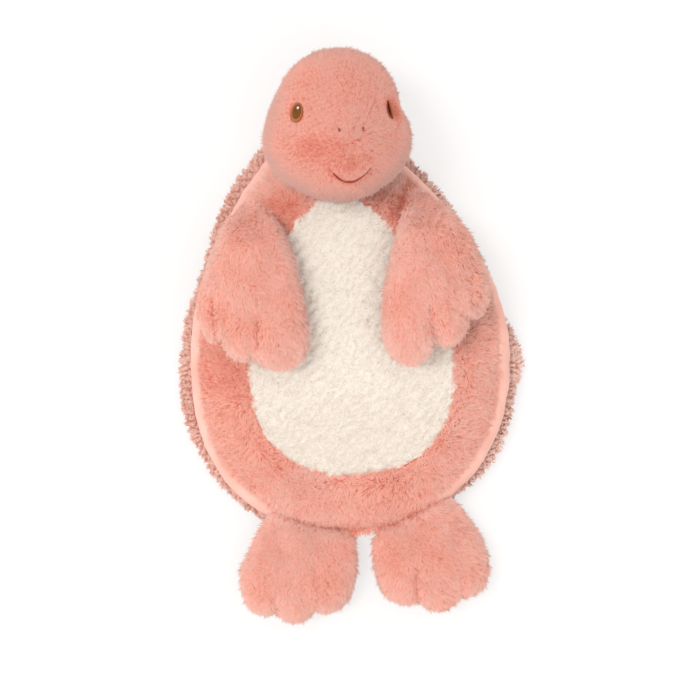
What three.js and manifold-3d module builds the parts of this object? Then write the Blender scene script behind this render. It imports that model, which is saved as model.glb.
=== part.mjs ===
// A plush sea turtle lying on its back, lengths in millimetres.
// The floor is z = 0, +Y runs from the feet to the head, and +X is the turtle's own left.
// The origin is on the floor, under the middle of the body.
import * as THREE from 'three';
import { mergeVertices } from 'three/addons/utils/BufferGeometryUtils.js';
import Module from 'manifold-3d';

const wasm = await Module();
wasm.setup();

// Sewing
const seamGap = 0.35; // left between two sewn pieces
const fillingGap = 1.7; // left between the filling of a limb and its cloth, to clear the facets
const coverGap = 0.7; // left between the filling of the body and its cloth at the sides
const bellyGap = 1.05; // left between the filling of the body and the belly
const seatGap = 0.6; // left between a foreleg and the body it lies on
const hipGap = 0.9; // left between a hind leg and the edge of the body
const runningGap = 1.0; // left round the head and the neck, which turn
const threadRadius = 0.7;
const overrun = 20; // how far a cutting solid runs past what it cuts

// Body: an egg seen from above, and a low dome seen from the side
const bodyHalfWidth = 118.5;
const bodyUp = 180; // from the middle to the head end, most of which is hidden by the head
const bodyDown = 122; // from the middle to the feet end
const bodyCrown = 36; // height of the middle of the belly
const bodyRim = 12; // height of the seam round the edge
const bodyLean = 12; // how far the head end lies to one side
const taperShare = 0.334; // how much narrower than an ellipse the head end is
const taperPower = 2.2;
const blunting = 2.4; // power of the superellipse at the feet end
const domePower = 3;

// Pieces of the body
const tummyHalfWidth = 76;
const tummyUp = 125;
const tummyDown = 80.5;
const tummyCloth = 3;
const borderCloth = 3;
const bandWidth = 9;
const bandCloth = 2.5;
const shellReach = 10; // how far the shell shows past the body at the sides
const shellReachUp = 8;
const shellShort = 1; // how far the shell stops short at the feet end
const shellCloth = 3;
const shellRimDepth = 14; // width of the padded rim of the shell
const shellFloorInset = 28;
const shellSlopeHeight = 4.9; // of the cloth halfway between the rim and the flat floor of the shell
const fillingSlopeHeight = 7.5; // of the filling over it

// Head, in its own frame: x to its left, y to the crown, z to the snout
const headHalfWidth = 54.3;
const headHalfHeight = 57;
const headFront = 46;
const headBack = 47;
const headPearShare = 0.08; // how much the cheeks widen and the crown narrows
const headCloth = 2.8;
const headOverlap = 5.8; // how far the middle of the head lies below the head end of the body
const headSide = -1.6; // sideways place of the middle of the head
const floorGap = 1; // from the back of the head to the floor
const headTurn = 11; // degrees that the face looks to its left
const snoutReach = 13;
const snoutHalfWidth = 27;
const snoutHalfHeight = 25;
const snoutDrop = 15; // from the middle of the head down to the middle of the snout
const gussetHalfWidth = 26; // of the strip over the crown
const gussetAtMouth = 14;
const gussetTaperEnd = 10; // height at which the strip has its full width
const mouthDrop = 42; // from the middle of the head down to the middle of the mouth
const mouthHalfWidth = 14;
const mouthRise = 8.5; // how far the ends of the smile rise
const chinSeamHalfWidth = 34;
const chinSeamRise = 15;

// Eyes and nostrils
const eyeAcross = { left: 36.5, right: 34 }; // from the middle of the face, which isn't quite even
const eyeHeight = 8;
const eyeHalfWidth = 4.6;
const eyeHalfHeight = 7.4;
const eyeDepth = 2;
const pupilHalfWidth = 3.1;
const pupilHalfHeight = 5;
const pupilDepth = 1.1;
const pupilOut = 1.5; // how far the middle of the pupil stands over the cloth
const glintRadius = 1.3;
const glintUp = 2.4;
const glintOut = 2.2;
const nostrilAcross = 8.1;
const nostrilDrop = 7.2;
const nostrilHalfWidth = 1.2;
const nostrilHalfHeight = 2.2;

// Neck: a padded collar sewn between the head and the body, part of a hollow ball round the head
const collarHalfWidth = 30;
const collarStart = 14; // degrees from straight down, towards the feet
const collarEnd = 62;
const nodBack = 25; // degrees
const nodForward = 20;
const nodMargin = 1;

// Forelegs: flat paddles with three toes
const forelegLength = 132;
const forelegWidth = 82;
const forelegUp = 20; // height of the padding over the side seam
const forelegDown = 6; // depth of the padding under it
const forelegOverhang = 12; // how far a foreleg spans out over the rounded edge of the body
const shoulderUp = 129; // from the middle of the body to the shoulder
const shoulderInset = 5; // from the side of the body in to the shoulder
const shoulderAcrossShare = 0.43; // where the shoulder is across the paddle, from its inner edge
const forelegSwing = { left: 0, right: 3.5 }; // degrees that each paddle lies inward
const forelegRoot = 40; // length over which the padding thickens

// Hind legs: broad feet with three toes
const hindlegWidth = 88;
const hindlegReach = 66; // from the edge of the body to the longest toe
const hindlegApart = 4; // from the middle line to the inner edge of a foot
const hindlegSide = 2.7; // how far both feet lie to one side
const hindlegUp = 16;
const hindlegDown = 12.5;
const hindlegSeam = 12; // height of the side seam of a foot
const hindlegRoot = 34;
const hindlegFlat = 6; // width of the thin edge along which a foot is sewn on and folds

const limbCloth = 2.4;
const fillingStart = 20; // from the sewn edge of a limb to its filling
const padPower = 3.4; // how blunt the edge of a limb's padding is
const forelegRootShare = 0.3; // share of its padding that a limb has at its root
const hindlegRootShare = 0.2;
const toeGroove = 2.4; // how far a toe stitch pulls the cloth down
const toeGrooveWidth = 7;

// Mesh steps
const aroundBody = 40;
const aroundHead = 26;
const downHead = 14;
const aroundLining = 20;
const downLining = 11;
const aroundLimb = 32;
const aroundEye = 12;
const downEye = 6;
const threadSteps = 4;
const threadSides = 6;
const collarSteps = 8;
const eggTrials = 40; // halvings in the search for a share of the egg
const faceTrials = 30; // steps in the search for a place on the face
const trialShare = 0.5; // of the way that each of those steps goes
const spareShare = 1; // by which that search starts too far out

// Rings of points, as shares of the way over a piece
const tummyShares = [0.25, 0.5, 0.75, 0.92, 1];
const borderShares = [0, 0.35, 0.7, 1];
const bandShares = [1, 0.65, 0.35, 0.12];
const bodyFillingShares = [0.35, 0.7, 0.9];
const innerFloorShare = 0.5; // of the innermost ring on the floor of the shell and the filling
// The rim of the shell from its inner edge over the top and down to the floor, each ring as shares
// of the width and of the height of the rim
const shellRimShares = [
  [1, 1], [0.5, 1], [0.18, 0.88], [0, 0.58], [0.14, 0.26], [0.5, 0.06], [1, 0],
];
const chinSeamShares = [-1, -0.6, -0.25, 0, 0.25, 0.6, 1];
const mouthShares = [-1, -0.5, 0, 0.5, 1];

const degree = Math.PI / 180;

const materials = {
  coral: cloth(0xeb9686),
  shell: cloth(0xd69c8c),
  velour: cloth(0xf3bcae),
  cream: cloth(0xf7ecdf),
  filling: cloth(0xfafafa),
  thread: cloth(0xb4584a),
  iris: cloth(0x9a6a35),
  pupil: cloth(0x3a2413),
  glint: cloth(0xfbf6ee),
};

function cloth(color) {
  return new THREE.MeshStandardMaterial({ color, roughness: 0.95, metalness: 0 });
}

// Solids

// A closed body through rings of points, each ring anticlockwise seen from the first one's side.
// Joined, the last ring meets the first. Otherwise each end closes on its middle.
function loft(rings, joined = false) {
  const points = [];
  const faces = [];
  const count = rings[0].length;
  rings.forEach((ring) => points.push(...ring));
  const last = joined ? rings.length : rings.length - 1;
  for (let k = 0; k < last; k++) {
    const upper = k * count;
    const lower = ((k + 1) % rings.length) * count;
    for (let i = 0; i < count; i++) {
      const j = (i + 1) % count;
      faces.push(upper + i, lower + i, lower + j, upper + i, lower + j, upper + j);
    }
  }
  if (!joined) {
    const end = (rings.length - 1) * count;
    const first = points.push(middleOf(rings[0])) - 1;
    const final = points.push(middleOf(rings[rings.length - 1])) - 1;
    for (let i = 0; i < count; i++) {
      const j = (i + 1) % count;
      faces.push(first, i, j, final, end + j, end + i);
    }
  }
  return solidFrom(points, faces);
}

function middleOf(ring) {
  const sum = new THREE.Vector3();
  ring.forEach((point) => sum.add(point));
  return sum.divideScalar(ring.length);
}

function solidFrom(points, faces) {
  const vertProperties = new Float32Array(points.flatMap((p) => [p.x, p.y, p.z]));
  return new wasm.Manifold(
    new wasm.Mesh({ numProp: 3, vertProperties, triVerts: new Uint32Array(faces) }),
  );
}

function solidOf(geometry) {
  const bare = geometry.clone();
  bare.deleteAttribute('normal');
  bare.deleteAttribute('uv');
  const merged = mergeVertices(bare);
  return new wasm.Manifold(
    new wasm.Mesh({
      numProp: 3,
      vertProperties: new Float32Array(merged.attributes.position.array),
      triVerts: new Uint32Array(merged.index.array),
    }),
  );
}

function ballOf(radius, frame) {
  return solidOf(new THREE.SphereGeometry(radius, aroundHead, downHead).applyMatrix4(frame));
}

// A flat shape pushed out along z, centred on z = 0.
function prismOf(corners, depth, frame = new THREE.Matrix4()) {
  const shape = new THREE.Shape(corners.map(([x, y]) => new THREE.Vector2(x, y)));
  const geometry = new THREE.ExtrudeGeometry(shape, { depth, bevelEnabled: false });
  return solidOf(geometry.translate(0, 0, -depth / 2).applyMatrix4(frame));
}

// A thread of round section along points.
function threadOf(points, radius) {
  const section = new THREE.Shape();
  section.absarc(0, 0, radius, 0, 2 * Math.PI);
  const path = new THREE.CatmullRomCurve3(points);
  const options = {
    steps: threadSteps,
    extrudePath: path,
    bevelEnabled: false,
    curveSegments: threadSides / 2,
  };
  return solidOf(new THREE.ExtrudeGeometry(section, options));
}

function meshOf(name, solid, material) {
  const mesh = solid.getMesh();
  const geometry = new THREE.BufferGeometry();
  geometry.setAttribute('position', new THREE.BufferAttribute(mesh.vertProperties, 3));
  geometry.setIndex(new THREE.BufferAttribute(mesh.triVerts, 1));
  const flat = geometry.toNonIndexed();
  flat.computeVertexNormals();
  const made = new THREE.Mesh(flat, material);
  made.name = name;
  return made;
}

// The point of a solid's surface that is met first from far out along z, over a place.
function topPoint(solid, x, y) {
  const mesh = meshOf('', solid, new THREE.MeshStandardMaterial());
  mesh.geometry.computeBoundingBox();
  const above = new THREE.Vector3(x, y, mesh.geometry.boundingBox.max.z + overrun);
  const ray = new THREE.Raycaster(above, new THREE.Vector3(0, 0, -1));
  return ray.intersectObject(mesh)[0].point;
}

function smoothShare(value, length) {
  const share = Math.min(Math.max(value / length, 0), 1);
  return share * share * (3 - 2 * share);
}

// Body outline and dome

const bodySize = { halfWidth: bodyHalfWidth, up: bodyUp, down: bodyDown };
const tummySize = { halfWidth: tummyHalfWidth, up: tummyUp, down: tummyDown };
const shellSize = {
  halfWidth: bodyHalfWidth + shellReach,
  up: bodyUp + shellReachUp,
  down: bodyDown - shellShort,
};

function insetOf(size, inset) {
  return {
    halfWidth: size.halfWidth - inset,
    up: size.up - inset,
    down: size.down - inset,
  };
}

function leanAt(y) {
  return y > 0 ? -bodyLean * (y / bodyUp) ** 2 : 0;
}

// A point of the egg outline, scaled by share about the middle of the body.
function eggPoint(size, angle, share = 1) {
  const across = Math.cos(angle);
  const along = Math.sin(angle);
  const power = 2 / blunting;
  const down = along < 0;
  const x = down
    ? Math.sign(across) * Math.abs(across) ** power
    : across * (1 - taperShare * along ** taperPower);
  const y = down ? -size.down * Math.abs(along) ** power : size.up * along;
  return new THREE.Vector2(x * size.halfWidth * share + leanAt(y * share), y * share);
}

// The half width of the egg at a height over its middle, without its lean.
function halfWidthAt(size, y) {
  const along = Math.min(y / size.up, 1);
  return size.halfWidth * Math.sqrt(1 - along * along) * (1 - taperShare * along ** taperPower);
}

// The share by which the egg has to be scaled for its edge to pass through a point.
function eggShare(size, x, y) {
  const across = Math.abs(x - leanAt(y));
  if (y <= 0) {
    const sum = (across / size.halfWidth) ** blunting + (-y / size.down) ** blunting;
    return sum ** (1 / blunting);
  }
  let low = y / size.up;
  let high = low + across / size.halfWidth + spareShare;
  for (let i = 0; i < eggTrials; i++) {
    const share = (low + high) / 2;
    const reach = share * halfWidthAt(size, y / share);
    if (reach < across) low = share;
    else high = share;
  }
  return high;
}

// Height of the dome of the body, or of the dome that lies inset below it.
function domeHeight(x, y, inset = 0, size = insetOf(bodySize, inset)) {
  const share = Math.min(eggShare(size, x, y), 1);
  return bodyRim + (bodyCrown - inset - bodyRim) * Math.sqrt(1 - share ** domePower);
}

// A ring round the body. height is a length, or the depth below the dome as { under }.
function bodyRing(size, share, height, steps = aroundBody) {
  return Array.from({ length: steps }, (_, i) => {
    const p = eggPoint(size, (2 * Math.PI * i) / steps, share);
    const z = typeof height === 'number' ? height : domeHeight(p.x, p.y, height.under);
    return new THREE.Vector3(p.x, p.y, z);
  });
}

// The head's middle, its ball and the hollow in the body that the head and the neck lie in
const headMiddle = new THREE.Vector3(headSide, bodyUp - headOverlap, headBack + floorGap);
const headBall = Math.max(headHalfWidth, headHalfHeight);
const collarOuter = headBall + runningGap;
const headFrame = new THREE.Matrix4().makeRotationY(headTurn * degree).setPosition(headMiddle);
const hollow = ballOf(collarOuter + runningGap, headFrame);

function makeTummy() {
  const ringsAt = (under) => tummyShares.map((share) => bodyRing(tummySize, share, { under }));
  const top = ringsAt(0);
  const bottom = ringsAt(tummyCloth);
  return loft([...top, ...bottom.reverse()]).subtract(hollow);
}

function makeBorder() {
  const inner = insetOf(tummySize, -seamGap);
  const outer = insetOf(bodySize, bandWidth + seamGap);
  const ringAt = (share, under) => {
    const from = bodyRing(inner, 1, { under });
    const to = bodyRing(outer, 1, { under });
    return from.map((p, i) => {
      const q = p.clone().lerp(to[i], share);
      q.z = domeHeight(q.x, q.y, under);
      return q;
    });
  };
  const top = borderShares.map((share) => ringAt(share, 0));
  const bottom = borderShares.map((share) => ringAt(share, borderCloth));
  return loft([...top, ...bottom.reverse()], true).subtract(hollow);
}

function makeBand() {
  const outer = bandShares.map((share) => {
    return bodyRing(insetOf(bodySize, bandWidth * share), 1, { under: 0 });
  });
  const inner = bandShares.map((share) => {
    const inset = bandCloth + (bandWidth - bandCloth) * share;
    return bodyRing(insetOf(bodySize, inset), 1, { under: bandCloth });
  });
  const foot = [
    bodyRing(bodySize, 1, bodyRim),
    bodyRing(insetOf(bodySize, bandCloth), 1, bodyRim),
  ];
  return loft([...outer, ...foot, ...inner.reverse()], true).subtract(hollow);
}

// Where the cloth of the shell lies halfway between its rim and its flat floor
const shellSlopeInset = (shellFloorInset + shellRimDepth) / 2;

// The shell is a shallow dish with a padded rim. It lies flat on the floor.
function makeShell() {
  const rimTop = bodyRim - seamGap;
  const ringAt = (inset, height) => bodyRing(insetOf(shellSize, inset), 1, height);
  const floorSize = insetOf(shellSize, shellFloorInset);
  const rim = shellRimShares.map(([insetShare, heightShare]) => {
    return ringAt(shellRimDepth * insetShare, rimTop * heightShare);
  });
  const rings = [
    bodyRing(floorSize, innerFloorShare, shellCloth),
    bodyRing(floorSize, 1, shellCloth),
    ringAt(shellSlopeInset, shellSlopeHeight),
    ...rim,
    bodyRing(floorSize, innerFloorShare, 0),
  ];
  return loft(rings).subtract(hollow);
}

function smallerOf(a, b) {
  return {
    halfWidth: Math.min(a.halfWidth, b.halfWidth),
    up: Math.min(a.up, b.up),
    down: Math.min(a.down, b.down),
  };
}

function makeBodyFilling() {
  const under = Math.max(tummyCloth, borderCloth, bandCloth) + bellyGap;
  const edge = insetOf(bodySize, bandCloth + coverGap);
  const sill = insetOf(shellSize, shellRimDepth + coverGap);
  const ledge = insetOf(shellSize, shellSlopeInset + coverGap);
  const floor = insetOf(shellSize, shellFloorInset + coverGap);
  const rings = [
    ...bodyFillingShares.map((share) => bodyRing(edge, share, { under })),
    bodyRing(edge, 1, bodyRim + seamGap),
    bodyRing(smallerOf(edge, sill), 1, bodyRim),
    bodyRing(smallerOf(edge, ledge), 1, fillingSlopeHeight),
    bodyRing(floor, 1, shellCloth + seamGap),
    bodyRing(floor, innerFloorShare, shellCloth + seamGap),
  ];
  return loft(rings).subtract(hollow);
}

// Head

// A point of the head's surface in the direction of a unit vector, or of the surface inset below it.
function headPoint(direction, inset = 0) {
  const { x, y, z } = direction;
  const pear = 1 - headPearShare * Math.sin(Math.PI * y);
  const point = new THREE.Vector3(
    (headHalfWidth - inset) * x * pear,
    (headHalfHeight - inset) * y,
    ((z > 0 ? headFront : headBack) - inset) * z,
  );
  const aside = point.x / snoutHalfWidth;
  const below = (point.y + snoutDrop) / snoutHalfHeight;
  const forward = smoothShare(z, 1);
  point.z += snoutReach * forward * Math.exp(-aside * aside - below * below);
  return point;
}

function headSolid(inset) {
  const around = inset > 0 ? aroundLining : aroundHead;
  const down = inset > 0 ? downLining : downHead;
  const rings = [];
  for (let k = 1; k < down; k++) {
    const fall = (Math.PI * k) / down;
    const ring = Array.from({ length: around }, (_, i) => {
      const turn = (2 * Math.PI * i) / around;
      const direction = new THREE.Vector3(
        Math.sin(fall) * Math.sin(turn),
        Math.cos(fall),
        Math.sin(fall) * Math.cos(turn),
      );
      return headPoint(direction, inset);
    });
    rings.push(ring);
  }
  return loft(rings);
}

// The point of the surface that lies straight out from a place on the face, by trial.
function facePoint(x, y, inset = 0) {
  const direction = new THREE.Vector3(x / headHalfWidth, y / headHalfHeight, 1);
  for (let i = 0; i < faceTrials; i++) {
    const point = headPoint(direction.normalize(), inset);
    direction.x += (trialShare * (x - point.x)) / headHalfWidth;
    direction.y += (trialShare * (y - point.y)) / headHalfHeight;
  }
  return headPoint(direction.normalize(), inset);
}

// Turns a piece's z to the way that the face's surface looks at a place, and moves it there.
function faceFrame(skin, x, y) {
  const step = eyeHalfWidth;
  const right = facePoint(x + step, y).sub(facePoint(x - step, y));
  const up = facePoint(x, y + step).sub(facePoint(x, y - step));
  const out = right.clone().cross(up).normalize();
  const level = new THREE.Vector3().crossVectors(up.normalize(), out).normalize();
  const rise = new THREE.Vector3().crossVectors(out, level);
  return new THREE.Matrix4().makeBasis(level, rise, out).setPosition(topPoint(skin, x, y));
}

function ovalOf(halfWidth, halfHeight, halfDepth, out, up, frame) {
  const geometry = new THREE.SphereGeometry(1, aroundEye, downEye);
  geometry.scale(halfWidth, halfHeight, halfDepth).translate(0, up, out);
  return solidOf(geometry.applyMatrix4(frame));
}

function makeEye(skin, across) {
  const frame = faceFrame(skin, across, eyeHeight);
  const oval = (extra) => ({
    iris: ovalOf(eyeHalfWidth + extra, eyeHalfHeight + extra, eyeDepth + extra, 0, 0, frame),
    pupil: ovalOf(
      pupilHalfWidth + extra, pupilHalfHeight + extra, pupilDepth + extra, pupilOut, 0, frame,
    ),
    glint: ovalOf(
      glintRadius + extra, glintRadius + extra, glintRadius + extra, glintOut, glintUp, frame,
    ),
  });
  const exact = oval(0);
  const wide = oval(seamGap);
  return {
    pocket: wide.iris.add(wide.pupil).add(wide.glint),
    iris: exact.iris.subtract(wide.pupil).subtract(wide.glint),
    pupil: exact.pupil.subtract(wide.glint),
    glint: exact.glint,
  };
}

// Height of the smile, and of the seam that runs on from it round the cheeks.
function smileHeight(x, rise, halfWidth) {
  return rise * (x / halfWidth) ** 2 - mouthDrop;
}

function makeMouth(skin, radius) {
  const points = mouthShares.map((share) => {
    const x = share * mouthHalfWidth;
    return topPoint(skin, x, smileHeight(x, mouthRise, mouthHalfWidth));
  });
  return threadOf(points, radius);
}

function makeNostril(skin, side, extra) {
  const frame = faceFrame(skin, side * nostrilAcross, -nostrilDrop);
  return ovalOf(
    nostrilHalfWidth + extra, nostrilHalfHeight + extra, threadRadius + extra, 0, 0, frame,
  );
}

// Regions of the face, seen from the front, into which the skin of the head is cut.
function headRegions() {
  const far = headBall + overrun;
  const half = seamGap / 2;
  const depth = 2 * far;
  const seam = chinSeamShares.map((share) => {
    const x = share * chinSeamHalfWidth;
    return [x, smileHeight(x, chinSeamRise, chinSeamHalfWidth)];
  });
  const seamEnd = chinSeamRise - mouthDrop;
  const under = [[-far, seamEnd], ...seam, [far, seamEnd]];
  const lower = (shift) => under.map(([x, y]) => [x, y + shift]);
  const chin = prismOf([[far, -far], ...lower(-half).reverse(), [-far, -far]], depth);
  const upper = prismOf([[-far, far], ...lower(half), [far, far]], depth);
  const strip = (extra) => {
    const wide = gussetHalfWidth + extra;
    const narrow = gussetAtMouth + extra;
    return prismOf(
      [
        [-narrow, -far],
        [narrow, -far],
        [narrow, -mouthDrop],
        [wide, gussetTaperEnd],
        [wide, far],
        [-wide, far],
        [-wide, gussetTaperEnd],
        [-narrow, -mouthDrop],
      ],
      depth,
    );
  };
  const rightHalf = prismOf([[-far, -far], [0, -far], [0, far], [-far, far]], depth);
  const sides = upper.subtract(strip(half));
  return {
    chin,
    gusset: upper.intersect(strip(-half)),
    sideRight: sides.intersect(rightHalf),
    sideLeft: sides.subtract(rightHalf),
  };
}

// A slice of a hollow ball, between two angles from straight down towards the feet.
function collarSlice(innerRadius, outerRadius, start, end, halfWidth, frame) {
  const far = outerRadius + overrun;
  const corners = [[0, 0]];
  for (let i = 0; i <= collarSteps; i++) {
    const angle = (start + ((end - start) * i) / collarSteps) * degree;
    corners.push([-far * Math.sin(angle), -far * Math.cos(angle)]);
  }
  // The wedge is drawn with x for the turtle's y and y for its z.
  const upright = new THREE.Matrix4().makeBasis(
    new THREE.Vector3(0, 1, 0),
    new THREE.Vector3(0, 0, 1),
    new THREE.Vector3(1, 0, 0),
  );
  const wedge = prismOf(corners.reverse(), 2 * halfWidth, frame.clone().multiply(upright));
  return ballOf(outerRadius, frame).subtract(ballOf(innerRadius, frame)).intersect(wedge);
}

function makeHead() {
  const neckRadius = headBack - seamGap;
  const neckHole = (extra) => collarSlice(
    neckRadius - extra,
    headBall + overrun,
    collarStart - nodForward - nodMargin,
    collarEnd + nodBack + nodMargin,
    collarHalfWidth + runningGap,
    new THREE.Matrix4(),
  );
  const hole = neckHole(0);
  const whole = headSolid(0);
  const eyes = { left: makeEye(whole, eyeAcross.left), right: makeEye(whole, -eyeAcross.right) };
  const mouth = makeMouth(whole, threadRadius);
  const nostrils = { left: makeNostril(whole, 1, 0), right: makeNostril(whole, -1, 0) };
  const pockets = makeMouth(whole, threadRadius + seamGap)
    .add(makeNostril(whole, 1, seamGap))
    .add(makeNostril(whole, -1, seamGap))
    .add(eyes.left.pocket)
    .add(eyes.right.pocket);
  const skin = whole.subtract(headSolid(headCloth)).subtract(hole).subtract(pockets);
  const filling = headSolid(headCloth + seamGap)
    .subtract(neckHole(seamGap))
    .subtract(pockets);
  const regions = headRegions();
  const pieces = new THREE.Group();
  pieces.add(
    meshOf('head_gusset', skin.intersect(regions.gusset), materials.coral),
    meshOf('head_side_left', skin.intersect(regions.sideLeft), materials.coral),
    meshOf('head_side_right', skin.intersect(regions.sideRight), materials.coral),
    meshOf('chin_panel', skin.intersect(regions.chin), materials.coral),
    meshOf('head_filling', filling, materials.filling),
    meshOf('mouth_stitch', mouth, materials.thread),
  );
  for (const side of ['left', 'right']) {
    pieces.add(
      meshOf('eye_iris_' + side, eyes[side].iris, materials.iris),
      meshOf('eye_pupil_' + side, eyes[side].pupil, materials.pupil),
      meshOf('eye_glint_' + side, eyes[side].glint, materials.glint),
      meshOf('nostril_stitch_' + side, nostrils[side], materials.thread),
    );
  }
  pieces.position.copy(headMiddle);
  pieces.rotation.y = headTurn * degree;
  return pieces;
}

function makeCollar() {
  const inner = headBack + seamGap / 2;
  const slice = collarSlice(inner, collarOuter, collarStart, collarEnd, collarHalfWidth, headFrame);
  const wide = 2 * (collarOuter + overrun);
  const floor = new THREE.BoxGeometry(wide, wide, wide);
  const below = solidOf(floor.translate(headMiddle.x, headMiddle.y, seamGap - wide / 2));
  return meshOf('neck_collar', slice.subtract(below), materials.coral);
}

// Limbs

// Outlines of the left limbs, as shares of the length and the width of the limb.
const forelegShares = [
  [0, 0.43], [0.038, 0.512], [0.129, 0.622], [0.25, 0.756], [0.394, 0.878], [0.515, 0.963],
  [0.629, 0.994], [0.727, 0.963], [0.799, 0.89], [0.788, 0.805], [0.841, 0.774],
  [0.909, 0.695], [0.936, 0.585], [0.9, 0.476], [0.97, 0.378], [1, 0.244], [0.962, 0.098],
  [0.871, 0.012], [0.735, 0], [0.583, 0.024], [0.41, 0.098], [0.235, 0.195], [0.083, 0.29],
];
const forelegToeShares = [
  [[0.7, 0.45], [0.9, 0.476]],
  [[0.6, 0.76], [0.788, 0.805]],
];
const forelegMiddleShare = [0.6, 0.48];
const stitchShares = [0, 0.25, 0.5, 0.75, 0.92];
const hindlegShares = [
  [1, 0.57], [0.955, 0.66], [0.875, 0.75], [0.885, 0.845], [0.81, 0.945], [0.62, 1],
  [0.38, 0.99], [0.14, 0.925], [-0.1, 0.85], [-0.35, 0.72], [-0.35, 0.45], [-0.3, 0.2],
  [-0.15, 0.06], [0.15, 0.01], [0.4, 0], [0.61, 0.03], [0.79, 0.095],
  [0.885, 0.21], [0.9, 0.3], [0.885, 0.375], [0.965, 0.465],
];
const hindlegToeShares = [
  [[0.5, 0.37], [0.885, 0.375]],
  [[0.6, 0.74], [0.875, 0.75]],
];
const hindlegMiddleShare = [0.48, 0.5];

// The pillow of a limb. place turns shares into a point of the floor plan, seamHeight gives the
// height of its side seam there, and fullness the share of the padding.
function pillowOf(limb) {
  const middle = limb.place(limb.middleShare);
  const curve = new THREE.CatmullRomCurve3(limb.outlineShares.map(limb.place), true);
  const outline = curve.getSpacedPoints(aroundLimb).slice(0, aroundLimb);
  if (THREE.ShapeUtils.isClockWise(outline)) outline.reverse();
  const toes = limb.toeShares.map(([from, to]) => new THREE.Line3(limb.place(from), limb.place(to)));
  return { ...limb, middle, outline, toes };
}

// How far the toe stitches pull the cloth down at a place.
function grooveAt(toes, place) {
  const near = new THREE.Vector3();
  const depths = toes.map((toe) => {
    const away = toe.closestPointToPoint(place, true, near).distanceTo(place) / toeGrooveWidth;
    return toeGroove * Math.exp(-away * away);
  });
  return Math.max(...depths);
}

// A ring of the pillow at a share of the way to its rim, over or under the side seam. inset is the
// depth below the surface, and shift moves the seam itself.
function pillowRing(pillow, share, inset, over, shift) {
  return pillow.outline.map((edge) => {
    const away = edge.clone().sub(pillow.middle);
    const place = away.setLength((away.length() - inset) * share).add(pillow.middle);
    const full = pillow.fullness(place.x, place.y);
    const padding = Math.max((over ? pillow.up : pillow.down) * full - inset, 0);
    const groove = over ? grooveAt(pillow.toes, place) * full : 0;
    const swell = Math.sqrt(1 - share ** padPower) * (padding - groove);
    const seam = pillow.seamHeight(place.x, place.y);
    place.z = Math.max(seam + (over ? shift + swell : -shift - swell), inset);
    return place;
  });
}

const pillowShares = [0.35, 0.65, 0.87, 1];
const liningShares = [0.35, 0.87, 1];

function panelOf(pillow, over) {
  const shift = seamGap / 2;
  const outer = pillowShares.map((share) => pillowRing(pillow, share, 0, over, shift));
  const inner = liningShares.map((share) => pillowRing(pillow, share, limbCloth, over, shift));
  return loft(over ? [...outer, ...inner.reverse()] : [...inner, ...outer.reverse()]);
}

function limbFilling(pillow) {
  const inset = limbCloth + fillingGap;
  const top = liningShares.map((share) => pillowRing(pillow, share, inset, true, 0));
  const bottom = liningShares.map((share) => pillowRing(pillow, share, inset, false, 0));
  return loft([...top, ...bottom.reverse().slice(1)]);
}

function makeLimb(name, limb) {
  const pillow = pillowOf(limb);
  const whole = panelOf(pillow, true);
  const stitches = pillow.toes.map((toe) => {
    const points = stitchShares.map((share) => {
      const place = toe.at(share, new THREE.Vector3());
      return topPoint(whole, place.x, place.y);
    });
    return (radius) => threadOf(points, radius);
  });
  let top = whole.subtract(limb.sewnEdge(0));
  let filling = limbFilling(pillow).subtract(limb.sewnEdge(fillingStart));
  for (const stitch of stitches) {
    const hole = stitch(threadRadius + seamGap);
    top = top.subtract(hole);
    filling = filling.subtract(hole);
  }
  const pieces = new THREE.Group();
  pieces.add(
    meshOf(name + '_top', top, materials.coral),
    meshOf(name + '_under', panelOf(pillow, false).subtract(limb.sewnEdge(0)), materials.coral),
    meshOf(name + '_filling', filling, materials.filling),
  );
  stitches.forEach((stitch, i) => {
    pieces.add(meshOf(name + '_toe_stitch_' + (i + 1), stitch(threadRadius), materials.thread));
  });
  return pieces;
}

// A foreleg is sewn into the side seam at the shoulder and lies on the belly.
function makeForeleg(name, side) {
  const swing = forelegSwing[name] * degree;
  const wideBody = insetOf(bodySize, -forelegOverhang);
  const half = halfWidthAt(bodySize, shoulderUp) - shoulderInset;
  const shoulder = new THREE.Vector3(leanAt(shoulderUp) + side * half, shoulderUp, 0);
  const clearOf = (x, y) => {
    return smoothShare(Math.hypot(x - shoulder.x, y - shoulder.y), forelegRoot);
  };
  const fullness = (x, y) => forelegRootShare + (1 - forelegRootShare) * clearOf(x, y);
  const place = ([alongShare, acrossShare]) => {
    const out = (acrossShare - shoulderAcrossShare) * forelegWidth;
    const down = alongShare * forelegLength;
    return new THREE.Vector3(
      shoulder.x + side * (out * Math.cos(swing) - down * Math.sin(swing)),
      shoulder.y - down * Math.cos(swing) - out * Math.sin(swing),
      0,
    );
  };
  return makeLimb('foreleg_' + name, {
    place,
    outlineShares: forelegShares,
    middleShare: forelegMiddleShare,
    toeShares: forelegToeShares,
    up: forelegUp,
    down: forelegDown,
    seamHeight: (x, y) => {
      const over = domeHeight(x, y, 0, wideBody) - domeHeight(x, y);
      return domeHeight(x, y) + seatGap + over * clearOf(x, y) + forelegDown * fullness(x, y);
    },
    fullness,
    sewnEdge: (reach) => {
      const height = domeHeight(shoulder.x, shoulder.y);
      const frame = new THREE.Matrix4().makeTranslation(shoulder.x, shoulder.y, height);
      return ballOf(shoulderInset + reach, frame);
    },
  });
}

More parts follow.
